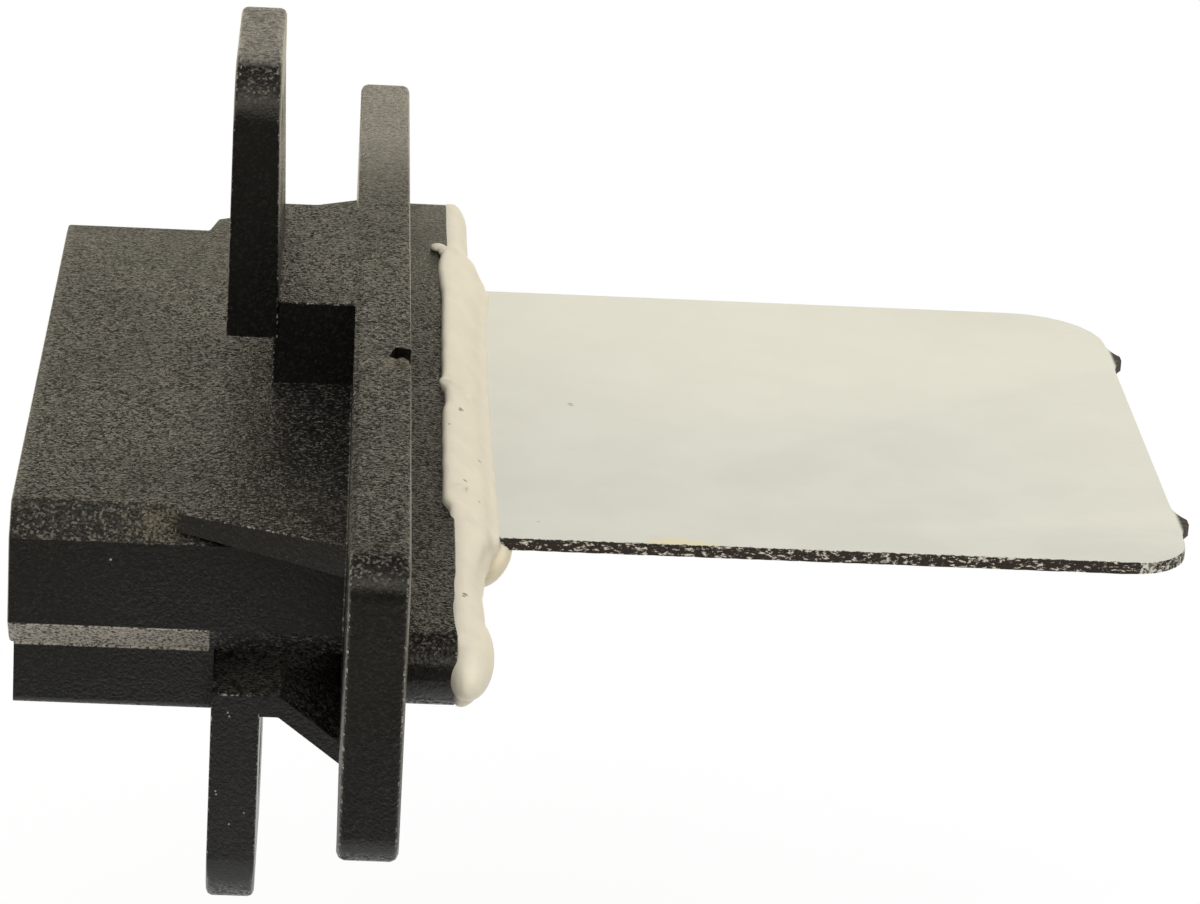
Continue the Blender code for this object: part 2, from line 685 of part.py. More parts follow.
def make_tracks(parts):
    """Three hairpin resistor tracks and one straight one, each joined to its conductors."""
    finish = material("resistor_print", (0.035, 0.04, 0.045), 0.55)
    start = RAIL_X + RAIL_WIDTH + SEAT_GAP
    half = TRACK_WIDTH / 2
    for lane in range(TERMINAL_COUNT - 2):
        low, high = track_legs(lane)
        inner = TRACK_REACH - TRACK_WIDTH
        points = outline([
            (start, low - half, 0),
            (TRACK_REACH, low - half, TRACK_WIDTH),
            (TRACK_REACH, high + half, TRACK_WIDTH),
            (start, high + half, 0),
            (start, high - half, 0),
            (inner, high - half, 0),
            (inner, low + half, 0),
            (start, low + half, 0),
        ])
        print_shape(f"resistor_track_{lane + 1}", points, parts, finish)
    leg = track_legs(TERMINAL_COUNT - 2)[0]
    end = fuse_pad_x(1) - LEAD_FOOT - SEAT_GAP
    points = rectangle(start, end, leg - half, leg + half)
    print_shape(f"resistor_track_{TERMINAL_COUNT - 1}", points, parts, finish)


def fuse_pad_x(side):
    """Where the middle of a lead's foot lies, before (-1) or beyond (1) the cut-out's body."""
    body = FUSE_LENGTH / 2 + (FUSE_SEAL_LENGTH if side > 0 else 0)
    return FUSE_X + side * (body + SEAT_GAP + LEAD_STRAIGHT + LEAD_BEND + LEAD_FOOT / 2)


def make_fuse(parts):
    """The thermal cut-out: a metal case, its resin seal and two leads formed up to the card."""
    y = terminal_places()[-1]
    radius = FUSE_DIAMETER / 2
    lead = LEAD_DIAMETER / 2
    z = PRINT_UNDER - FUSE_STANDOFF - radius
    half = FUSE_LENGTH / 2
    case = turned("fuse_case", [
        (0, half),
        (radius - FUSE_CORNER, half),
        (radius, half - FUSE_CORNER),
        (radius, FUSE_CORNER - half),
        (radius - FUSE_CORNER, -half),
        (0, -half),
    ])
    case.matrix_world = Matrix.Translation((FUSE_X, y, z)) @ Matrix.Rotation(math.pi / 2, 4, "Y")
    place_in(case, parts, material("fuse_case_metal", (0.68, 0.66, 0.62), 0.3, 1.0))
    seal = turned("fuse_seal", [
        (0, FUSE_SEAL_LENGTH),
        (FUSE_SEAL_TIP, FUSE_SEAL_LENGTH),
        (FUSE_SEAL_NECK, FUSE_SEAL_NECK_HEIGHT),
        (FUSE_SEAL_ROOT, SEAT_GAP),
        (0, SEAT_GAP),
    ])
    seal.matrix_world = (Matrix.Translation((FUSE_X + half, y, z))
                         @ Matrix.Rotation(math.pi / 2, 4, "Y"))
    place_in(seal, parts, material("fuse_resin", (0.35, 0.08, 0.05), 0.4))
    foot_z = PRINT_UNDER - SEAT_GAP - lead
    finish = material("fuse_lead_tin", (0.74, 0.73, 0.70), 0.28, 1.0)
    for index, side in enumerate((-1, 1), start=1):
        pad = fuse_pad_x(side)
        start = pad - side * (LEAD_FOOT / 2 + LEAD_BEND + LEAD_STRAIGHT)
        route = lead_route(start, z, foot_z, side)
        place_in(wire(f"fuse_lead_{index}", [(x, y, height) for x, height in route], lead), parts, finish)


def lead_route(start, low, high, side):
    """A straight piece, a smooth rise and a foot, as (x, z) points."""
    steps = 10
    route = [(start, low)]
    for step in range(steps + 1):
        share = step / steps
        rise = (1 - math.cos(math.pi * share)) / 2
        route.append((start + side * (LEAD_STRAIGHT + LEAD_BEND * share), low + (high - low) * rise))
    route.append((start + side * (LEAD_STRAIGHT + LEAD_BEND + LEAD_FOOT), high))
    return route


def wire(name, points, radius):
    """A round wire along a route."""
    curve = bpy.data.curves.new(name, "CURVE")
    curve.dimensions = "3D"
    curve.bevel_depth = radius
    curve.bevel_resolution = 3
    curve.use_fill_caps = True
    spline = curve.splines.new("POLY")
    spline.points.add(len(points) - 1)
    for point, place in zip(spline.points, points):
        point.co = (*place, 1)
    spline.use_smooth = True
    return bpy.data.objects.new(name, curve)


def solder_joint(name, x, y, parts, finish):
    """A low dome of solder, flat where it wets the conductor."""
    mesh = bpy.data.meshes.new(name)
    shape = bmesh.new()
    bmesh.ops.create_uvsphere(shape, u_segments=18, v_segments=12, radius=1.0)
    cut = bmesh.ops.bisect_plane(
        shape, geom=shape.verts[:] + shape.edges[:] + shape.faces[:], dist=0.0001,
        plane_co=(0, 0, -JOINT_CUT), plane_no=(0, 0, 1), clear_outer=True)
    rim = [item for item in cut["geom_cut"] if isinstance(item, bmesh.types.BMEdge)]
    bmesh.ops.contextual_create(shape, geom=rim)
    for vertex in shape.verts:
        vertex.co.x = x + vertex.co.x * JOINT_LENGTH / 2
        vertex.co.y = y + vertex.co.y * JOINT_WIDTH / 2
        share = (vertex.co.z + JOINT_CUT) / (1 - JOINT_CUT)
        vertex.co.z = PRINT_UNDER - SEAT_GAP + share * JOINT_HEIGHT
    bmesh.ops.recalc_face_normals(shape, faces=shape.faces)
    shape.to_mesh(mesh)
    shape.free()
    joint = bpy.data.objects.new(name, mesh)
    place_in(round_off(joint), parts, finish)


def make_joints(parts):
    """Solder ahead of each terminal's tail and of each foot of the cut-out's leads."""
    finish = material("solder", (0.62, 0.62, 0.60), 0.35, 1.0)
    places = terminal_places()
    ahead = SEAT_GAP + JOINT_LENGTH / 2
    for index, y in enumerate(places, start=1):
        solder_joint(f"terminal_solder_{index}", -TAIL_END + ahead, y, parts, finish)
    for index, side in enumerate((-1, 1), start=1):
        x = fuse_pad_x(side) + side * (LEAD_FOOT / 2 + ahead)
        solder_joint(f"fuse_solder_{index}", x, places[-1], parts, finish)


def seal_reach(y):
    """How far the bead stands out of the collar at one place along it."""
    fillet = SEAL_FILLET * hump(y - CARD_NEAR, SEAL_FILLET_SPREAD)
    waist_y = CARD_NEAR - SEAL_WAIST_SETBACK
    waist = (SEAL_BEAD - SEAL_THIN) * hump(y - waist_y, SEAL_WAIST_SPREAD)
    blob_y = SEAL_NEAR_Y + SEAL_BLOB_SETBACK
    blob = (SEAL_BLOB - SEAL_THIN) * hump(y - blob_y, SEAL_BLOB_SPREAD)
    taper = max(0.0, (y - CARD_FAR) / (SEAL_FAR_Y - CARD_FAR)) * (SEAL_BEAD - SEAL_THIN)
    ripple = SEAL_RIPPLE * math.sin(2 * math.pi * y / SEAL_RIPPLE_PITCH)
    return SEAL_BEAD + fillet - waist + blob - taper + ripple


def hump(distance, spread):
    """A smooth rise to 1 where the distance is nought."""
    return math.exp(-(distance / spread) ** 2)


def seal_section(y, swell):
    """One cross-section of the bead, as (x, z) points round it; swell closes it at the ends."""
    back = COLLAR_LENGTH + SEAT_GAP
    lip = COLLAR_TOP + SEAT_GAP
    top = lip + SEAL_RISE * swell
    bottom = COLLAR_UNDER - SEAL_SAG * swell
    front = back + (seal_reach(y) - SEAT_GAP) * swell
    section = [(back, bottom), (back, lip), (back - SEAT_GAP - SEAL_LIP * swell, lip)]
    section.append((back - SEAT_GAP - SEAL_LIP * swell * SEAL_LIP_LEAN, top))
    for step in range(SEAL_RING + 1):
        turn = math.pi / 2 - math.pi * step / SEAL_RING
        height = (top + bottom) / 2 + (top - bottom) / 2 * math.sin(turn)
        section.append((back + (front - back) * max(0.0, math.cos(turn)) ** SEAL_FULLNESS, height))
    section.pop()
    return section


def make_sealant(parts):
    """The silicone bead: lofted along the collar, with a plug in the well and a slot for the card."""
    mesh = bpy.data.meshes.new("sealant")
    shape = bmesh.new()
    rings = []
    for station in range(SEAL_STATIONS + 1):
        share = station / SEAL_STATIONS
        y = SEAL_NEAR_Y + (SEAL_FAR_Y - SEAL_NEAR_Y) * share
        from_end = min(share, 1 - share) * (SEAL_FAR_Y - SEAL_NEAR_Y)
        swell = math.sqrt(min(1.0, SEAL_END_SWELL + from_end / SEAL_END_ROUND))
        rings.append([shape.verts.new((x, y, z)) for x, z in seal_section(y, swell)])
    for ring, after in zip(rings, rings[1:]):
        for index in range(len(ring)):
            back = index - 1
            shape.faces.new((ring[back], ring[index], after[index], after[back]))
    shape.faces.new(rings[0])
    shape.faces.new(list(reversed(rings[-1])))
    bmesh.ops.triangulate(shape, faces=shape.faces)
    bmesh.ops.recalc_face_normals(shape, faces=shape.faces)
    shape.to_mesh(mesh)
    shape.free()
    sealant = bpy.data.objects.new("sealant", mesh)
    place_in(sealant, parts, material("silicone", (0.72, 0.65, 0.52), 0.45))
    plug = well_form("sealant_plug", COLLAR_WALL + SEAT_GAP,
                     COLLAR_LENGTH - WELL_DEPTH + SEAT_GAP, COLLAR_LENGTH + SEAT_GAP + BITE)
    slot = block(
        "card_slot",
        (-OVERRUN, CARD_NEAR - SEAT_GAP, PRINT_UNDER - SEAT_GAP),
        (COLLAR_LENGTH + SEAL_BEAD + 2 * OVERRUN, CARD_FAR + SEAT_GAP, CARD_TOP + SEAT_GAP))
    combine(sealant, "UNION", "sealant_forms", [plug])
    combine(sealant, "DIFFERENCE", "sealant_cutters", [slot])


def main():
    """Build every piece of the resistor."""
    clear_scene()
    parts = new_collection("blower_motor_resistor")
    make_housing(parts)
    make_card(parts)
    make_terminals(parts)
    make_conductors(parts)
    make_tracks(parts)
    make_fuse(parts)
    make_joints(parts)
    make_sealant(parts)
    frame = bpy.data.objects.new("resistor_frame", None)
    parts.objects.link(frame)
    for piece in parts.objects:
        if piece is not frame:
            piece.parent = frame


main()
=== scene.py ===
"""Dress the blower motor resistor: moulded housing, silicone bead, enamelled card and its underside.

The file is laid out as an add-on, with one operator for each piece or group of like pieces.
Lengths are metres, and the frame is the part's own: the card lies flat and stands out along +X.
"""
import math
from functools import partial

import bmesh
import bpy
from bpy.props import FloatProperty, FloatVectorProperty, IntProperty, PointerProperty
from mathutils import Matrix, Vector, noise
from mathutils.geometry import intersect_point_line


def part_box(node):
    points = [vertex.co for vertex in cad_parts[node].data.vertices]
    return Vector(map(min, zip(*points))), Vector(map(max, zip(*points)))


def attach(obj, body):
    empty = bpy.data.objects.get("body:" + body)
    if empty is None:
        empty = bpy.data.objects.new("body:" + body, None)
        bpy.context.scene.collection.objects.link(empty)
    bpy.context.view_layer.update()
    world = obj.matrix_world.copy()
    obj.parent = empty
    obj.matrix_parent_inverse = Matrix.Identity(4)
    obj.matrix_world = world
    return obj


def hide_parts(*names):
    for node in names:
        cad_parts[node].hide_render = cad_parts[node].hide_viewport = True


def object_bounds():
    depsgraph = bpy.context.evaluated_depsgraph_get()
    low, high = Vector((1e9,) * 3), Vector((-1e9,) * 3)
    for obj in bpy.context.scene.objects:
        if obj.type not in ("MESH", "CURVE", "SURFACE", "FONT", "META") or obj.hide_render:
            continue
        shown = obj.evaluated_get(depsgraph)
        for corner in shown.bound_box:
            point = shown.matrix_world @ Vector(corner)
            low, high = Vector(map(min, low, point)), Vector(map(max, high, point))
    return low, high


bl_info = {
    "name": "Blower motor resistor",
    "version": (1, 0, 0),
    "blender": (4, 5, 0),
    "location": "3D View > Sidebar > Resistor",
    "description": "Dresses the packed blower motor resistor",
    "category": "Object",
}

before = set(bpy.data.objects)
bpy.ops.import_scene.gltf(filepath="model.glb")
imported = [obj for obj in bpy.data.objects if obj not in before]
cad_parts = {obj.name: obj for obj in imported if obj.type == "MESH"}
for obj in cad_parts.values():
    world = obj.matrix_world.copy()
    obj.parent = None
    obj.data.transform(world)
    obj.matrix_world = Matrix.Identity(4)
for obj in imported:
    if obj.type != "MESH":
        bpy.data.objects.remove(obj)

MM = 0.001
X, Y, Z = range(3)
BODY = "root"
WELD = 0.00001

CAD_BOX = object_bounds()
CARD_LOW, CARD_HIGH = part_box("card")
PRINT_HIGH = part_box("conductor_1")[1]


# Settings that a user would change

def colour_property(name, default, description):
    """A linear colour that shows as a colour field."""
    return FloatVectorProperty(
        name=name, description=description, default=default, subtype="COLOR", size=3, min=0, max=1)


class HousingSettings(bpy.types.PropertyGroup):
    """Finish of the black moulding."""

    nylon: colour_property("Nylon", (0.0019, 0.0018, 0.0015), "Colour of the black moulding")
    # Also used for the painted highlight on the ear and flange tops and along the mouth's top edge
    scuff_and_sheen: colour_property("Scuffed nylon", (0.17, 0.155, 0.13), "Colour of scuffed rims and dust")
    far_chamfer: FloatProperty(
        name="Far edge shift",
        description="How far the shroud's far top edge moves out over its chamfer",
        default=1.5 * MM, min=0, max=2.0 * MM, unit="LENGTH")
    end_rounding: FloatProperty(
        name="End rounding", description="Share of the wider rounding at the plates' free ends",
        default=1.0, min=0, max=1.2, subtype="FACTOR")
    lean: FloatProperty(
        name="Ear lean", description="How far the upper ear leans to the socket's side",
        default=0.35 * MM, min=0, max=0.6 * MM, unit="LENGTH")
    rim: FloatProperty(
        name="Rim width", description="Width of the worn rounding on sharp edges",
        default=0.1 * MM, min=0.02 * MM, max=0.2 * MM, unit="LENGTH")
    gloss: FloatProperty(
        name="Roughness", description="Roughness of clean nylon", default=0.27, min=0, max=1,
        subtype="FACTOR")


class SealantSettings(bpy.types.PropertyGroup):
    """Size and finish of the silicone bead."""

    silicone: colour_property("Silicone", (0.79, 0.725, 0.585), "Colour of the silicone")
    crown: FloatProperty(
        name="Crown", description="Height of the bead's highest line above the origin",
        default=2.78 * MM, min=2.4 * MM, max=3.0 * MM, unit="LENGTH")
    grain: FloatProperty(
        name="Voxel", description="Cell size with which the bead and its lumps are fused",
        default=0.13 * MM, min=0.1 * MM, max=0.4 * MM, unit="LENGTH")
    stations: IntProperty(
        name="Rings", description="Number of rings along the bead", default=150, min=40, max=400)


class CardSettings(bpy.types.PropertyGroup):
    """Finish of the enamelled card."""

    enamel: colour_property("Enamel", (0.655, 0.650, 0.575), "Colour of the enamel")
    core: colour_property("Core", (0.02, 0.014, 0.010), "Colour of the broken edge")
    trim: FloatProperty(
        name="Trim", description="How much shorter the card is than its CAD solid",
        default=0.3 * MM, min=0, max=0.5 * MM, unit="LENGTH")
    chip: FloatProperty(
        name="Chip depth", description="How far chips reach in from the broken edge",
        default=0.22 * MM, min=0, max=1.0 * MM, unit="LENGTH")


class UndersideSettings(bpy.types.PropertyGroup):
    """Finish of the printed circuit, the thermal cut-out and the solder."""

    silver: colour_property("Silver print", (0.56, 0.55, 0.52), "Colour of the conductors")
    glass: colour_property("Resistor print", (0.030, 0.036, 0.042), "Colour of the resistor tracks")
    resin: colour_property("Resin", (0.33, 0.07, 0.04), "Colour of the cut-out's seal")
    tin: colour_property("Tin", (0.78, 0.77, 0.74), "Colour of tinned metal")
    solder: colour_property("Solder", (0.66, 0.66, 0.65), "Colour of solder")


class StageSettings(bpy.types.PropertyGroup):
    """Camera, floor and light."""

    elevation: FloatProperty(
        name="Elevation", description="How far the camera looks down", default=math.radians(20.0),
        subtype="ANGLE")
    turn: FloatProperty(
        name="Turn", description="How far the camera is turned to the right",
        default=math.radians(3.3), subtype="ANGLE")
    roll: FloatProperty(
        name="Roll", description="How far the camera leans", default=math.radians(3.43), subtype="ANGLE")
    place: FloatVectorProperty(
        name="Camera place", description="Where the camera stands",
        default=(-4.96 * MM, -312.82 * MM, 112.66 * MM), subtype="TRANSLATION", size=3)
    lens: FloatProperty(
        name="Lens", description="Focal length for a sensor 36 mm wide", default=150.2, unit="CAMERA")
    floor_drop: FloatProperty(
        name="Floor drop", description="How far the floor lies under the part",
        default=40.0 * MM, unit="LENGTH")
    floor_radius: FloatProperty(
        name="Floor radius", description="Radius of the round table", default=120.0 * MM, unit="LENGTH")
    panel_distance: FloatProperty(
        name="Panel distance", description="How far behind the origin the reflector stands",
        default=135.0 * MM, unit="LENGTH")
    panel_top: FloatProperty(
        name="Panel top", description="Height of the reflector's top edge above the origin",
        default=60.0 * MM, unit="LENGTH")
    panel_glow: FloatProperty(
        name="Panel glow", description="Brightness of the reflector", default=1.22, min=0)


# Mesh tools

def metres(values):
    """Millimetres turned into metres."""
    return tuple(value * MM for value in values)


def only(piece):
    """Select one object, and nothing else."""
    bpy.ops.object.select_all(action="DESELECT")
    piece.select_set(True)
    bpy.context.view_layer.objects.active = piece


def edit(piece, select="SELECT"):
    """Enter edit mode on one object, with all of its mesh selected or none."""
    only(piece)
    bpy.ops.object.mode_set(mode="EDIT")
    bpy.ops.mesh.select_mode(type="VERT")
    bpy.ops.mesh.select_all(action=select)


def leave_edit():
    """Go back to object mode."""
    bpy.ops.object.mode_set(mode="OBJECT")


def edit_edges(piece, chosen):
    """Enter edit mode with those edges selected that a test on their two ends chooses."""
    edit(piece, "DESELECT")
    bpy.ops.mesh.select_mode(type="EDGE")
    leave_edit()
    for edge in piece.data.edges:
        edge.select = chosen(*(piece.data.vertices[index].co for index in edge.vertices))
    only(piece)
    bpy.ops.object.mode_set(mode="EDIT")
    bpy.ops.mesh.select_mode(type="EDGE")


def settle(piece):
    """Put the piece's place into its mesh, so that its object sits at the origin."""
    only(piece)
    bpy.ops.object.transform_apply(location=True, rotation=True, scale=True)
    return piece


def apply_modifiers(piece):
    """Apply every modifier of the piece, from the first to the last."""
    only(piece)
    for modifier in list(piece.modifiers):
        bpy.ops.object.modifier_apply(modifier=modifier.name)
    return piece


def smooth(piece, angle=math.radians(30)):
    """Shade the piece smooth, with edges sharper than the angle kept."""
    only(piece)
    bpy.ops.object.shade_smooth_by_angle(angle=angle)
    return piece


def merged_copy(node, name):
    """A merged copy of a CAD node's mesh, for a piece that keeps the node's shape."""
    piece = bpy.data.objects.new(name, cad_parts[node].data.copy())
    piece.data.name = name
    piece.data.materials.clear()
    bpy.context.scene.collection.objects.link(piece)
    edit(piece)
    bpy.ops.mesh.customdata_custom_splitnormals_clear()
    bpy.ops.mesh.remove_doubles(threshold=WELD)
    bpy.ops.mesh.dissolve_limited(angle_limit=math.radians(0.6))
    leave_edit()
    return piece


def ease(value, low, high):
    """A smooth rise from 0 at low to 1 at high."""
    share = min(1.0, max(0.0, (value - low) / (high - low)))
    return share * share * (3 - 2 * share)


def bevel_sharp(piece, angle, width, segments):
    """Round every edge of the piece that is sharper than an angle."""
    edit(piece, "DESELECT")
    bpy.ops.mesh.select_mode(type="EDGE")
    bpy.ops.mesh.edges_select_sharp(sharpness=angle)
    bpy.ops.mesh.bevel(offset=width, segments=segments, affect="EDGES", clamp_overlap=True)
    leave_edit()


def shift_where(piece, chosen, move):
    """Move the vertices that a test on their place chooses."""
    edit(piece, "DESELECT")
    leave_edit()
    for vertex in piece.data.vertices:
        vertex.select = chosen(vertex.co)
    only(piece)
    bpy.ops.object.mode_set(mode="EDIT")
    bpy.ops.transform.translate(value=move)
    leave_edit()


def ellipsoid(name, centre, radii, turn=(0.0, 0.0, 0.0)):
    """A lump of sealant or solder before it is fused, from a sphere at its size and place."""
    bpy.ops.object.select_all(action="DESELECT")
    bpy.ops.mesh.primitive_uv_sphere_add(
        segments=28, ring_count=16, radius=1.0, location=metres(centre), scale=metres(radii),
        rotation=[math.radians(value) for value in turn])
    lump = bpy.context.object
    lump.name = name
    return settle(lump)


def join(pieces, name):
    """Join several meshes into the first."""
    bpy.ops.object.select_all(action="DESELECT")
    for piece in pieces:
        piece.select_set(True)
    bpy.context.view_layer.objects.active = pieces[0]
    bpy.ops.object.join()
    joined = bpy.context.object
    joined.name = name
    joined.data.name = name
    return joined


def fuse(piece, voxel, smoothing):
    """Fuse what was joined into one skin and relax it, as silicone or molten solder would."""
    remesh = piece.modifiers.new("fuse", "REMESH")
    remesh.mode = "VOXEL"
    remesh.voxel_size = voxel
    relax = piece.modifiers.new("relax", "SMOOTH")
    relax.factor = 0.5
    relax.iterations = smoothing
    return apply_modifiers(piece)


def dress(piece, slot, finish, *nodes):
    """Give a new piece its finish and its body, and hide the nodes that it stands for; the slot name is
    not used.
    """
    piece.data.materials.clear()
    piece.data.materials.append(finish)
    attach(piece, BODY)
    if nodes:
        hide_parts(*nodes)
    return piece


def refinish(nodes, finish):
    """Give CAD nodes that stay in view a finish."""
    for name in nodes:
        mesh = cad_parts[name].data
        mesh.materials.clear()
        mesh.materials.append(finish)


def numbered(stem):
    """The CAD nodes whose name is a stem and a number, in order."""
    return sorted(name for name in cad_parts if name[:-1] == stem)


# Node tools

def add_node(tree, kind, inputs=None, **properties):
    """Add a node to a tree; an input is a value, or a socket to link from."""
    made = tree.nodes.new(kind)
    for key, value in properties.items():
        setattr(made, key, value)
    for key, value in (inputs or {}).items():
        if isinstance(value, bpy.types.NodeSocket):
            tree.links.new(value, made.inputs[key])
        else:
            made.inputs[key].default_value = value
    return made


class Finish:
    """A Principled material, with short calls for the nodes that the finishes share."""

    def __init__(self, name, roughness, metallic=0.0, specular=0.5):
        self.material = bpy.data.materials.new(name)
        self.material.use_nodes = True
        self.tree = self.material.node_tree
        self.shader = self.tree.nodes["Principled BSDF"]
        self.shader.inputs["Roughness"].default_value = roughness
        self.shader.inputs["Metallic"].default_value = metallic
        self.shader.inputs["Specular IOR Level"].default_value = specular
        self.place = self.node("ShaderNodeTexCoord").outputs["Object"]
        self.axes = self.node("ShaderNodeSeparateXYZ", {0: self.place}).outputs

    def node(self, kind, inputs=None, **properties):
        """Add a node to the material."""
        return add_node(self.tree, kind, inputs, **properties)

    def stretched(self, factors):
        """Object coordinates, stretched by a factor on each axis."""
        return self.node("ShaderNodeMapping", {0: self.place, 3: factors}).outputs[0]

    def noise(self, size, detail=2.0, roughness=0.5, place=None):
        """Noise whose features are about one size across."""
        return self.node("ShaderNodeTexNoise", {
            "Vector": place or self.place,
            "Scale": 1 / size,
            "Detail": detail,
            "Roughness": roughness,
        }).outputs[0]

    def cells(self, size, place=None):
        """Distance to the nearest of points scattered about one size apart."""
        return self.node("ShaderNodeTexVoronoi", {
            "Vector": place or self.place,
            "Scale": 1 / size,
        }).outputs["Distance"]

    def span(self, value, low, high, start=0.0, end=1.0):
        """Turn a value between low and high into one between start and end, smoothly."""
        return self.node("ShaderNodeMapRange", {
            "Value": value, 1: low, 2: high, 3: start, 4: end,
        }, interpolation_type="SMOOTHSTEP").outputs[0]

    def maths(self, operation, first, second=0.5):
        """One sum."""
        return self.node("ShaderNodeMath", {0: first, 1: second}, operation=operation).outputs[0]

    def times(self, *values):
        """The product of several masks."""
        result = values[0]
        for value in values[1:]:
            result = self.maths("MULTIPLY", result, value)
        return result

    def either(self, *masks):
        """The strongest of several masks."""
        result = masks[0]
        for mask in masks[1:]:
            result = self.maths("MAXIMUM", result, mask)
        return result

    def level(self):
        """How level the surface is, from 0 on an upright face to 1 on a flat top or underside."""
        normal = self.node("ShaderNodeNewGeometry").outputs["Normal"]
        return self.maths("ABSOLUTE", self.node("ShaderNodeSeparateXYZ", {0: normal}).outputs[Z])

    def within(self, axis, low, high, soft):
        """A mask that is 1 between two places along an axis, with soft ends."""
        value = self.axes[axis]
        rise = self.span(value, low - soft, low + soft)
        fall = self.span(value, high - soft, high + soft, 1.0, 0.0)
        return self.times(rise, fall)

    def near(self, spot, radius, soft, place=None):
        """A mask that is 1 about a point."""
        ends = {0: place or self.place, 1: spot}
        far = self.node("ShaderNodeVectorMath", ends, operation="DISTANCE")
        return self.span(far.outputs["Value"], radius - soft, radius + soft, 1.0, 0.0)

    def spots(self, table, soft):
        """A mask of small spots, from (x, y, radius) in mm, whatever the height."""
        flat = self.stretched((1.0, 1.0, 0.0))
        return self.either(*(
            self.near((x * MM, y * MM, 0.0), radius * MM, soft * MM, flat) for x, y, radius in table))

    def mix(self, share, first, second):
        """A blend of two colours."""
        return self.node("ShaderNodeMix", {0: share, 6: first, 7: second}, data_type="RGBA").outputs[2]

    def blend(self, share, first, second):
        """A blend of two values."""
        return self.node("ShaderNodeMix", {0: share, 2: first, 3: second}).outputs[0]

    def bump(self, height, depth, strength=1.0, under=None):
        """A bump of a real depth, laid over another."""
        inputs = {"Height": height, "Distance": depth, "Strength": strength}
        if under is not None:
            inputs["Normal"] = under
        return self.node("ShaderNodeBump", inputs).outputs[0]

    def out(self, **sockets):
        """Link values to the shader's sockets; an underscore in a name is a space."""
        for name, value in sockets.items():
            self.tree.links.new(value, self.shader.inputs[name.replace("_", " ")])
        return self.material


def opaque(colour):
    """A colour with full alpha."""
    return (*colour, 1.0)


def shade(colour, factor):
    """A colour made lighter or darker."""
    return tuple(min(1.0, channel * factor) for channel in colour) + (1.0,)


# Housing

# The pale band along the shroud's lower near edge, dust and a painted reflection of the floor: where it
# begins and ends on each axis
BAND_X = (-24.6 * MM, -11.8 * MM)
BAND_Y = (-29.0 * MM, -26.7 * MM)
BAND_Z = (-5.66 * MM, -3.50 * MM)

# The stain on the shroud's upper chamfer, and its darkest place
STAIN_X = (-18.7 * MM, -13.8 * MM)
STAIN_Z = (1.95 * MM, 3.98 * MM)
STAIN_HEART = (-15.2 * MM, -28.1 * MM, 3.2 * MM)

# The flange's top face, and the thin line at each end of its deeper middle
FLANGE_TOP = (9.3 * MM, 9.7 * MM)
SEAM_X = (-3.6 * MM, -0.02 * MM)
SEAMS = (18.0 * MM, -4.25 * MM)

# Dust with a painted floor reflection, stains and worn nylon
STAIN_COLOUR = (0.17, 0.135, 0.075, 1.0)
DUST_AND_SHEEN_COLOUR = (0.40, 0.36, 0.30, 1.0)
CRUMB_COLOUR = (0.085, 0.068, 0.046, 1.0)
SCUFF_COLOUR = (0.45, 0.43, 0.38, 1.0)
WORN_COLOUR = (0.42, 0.40, 0.34, 1.0)


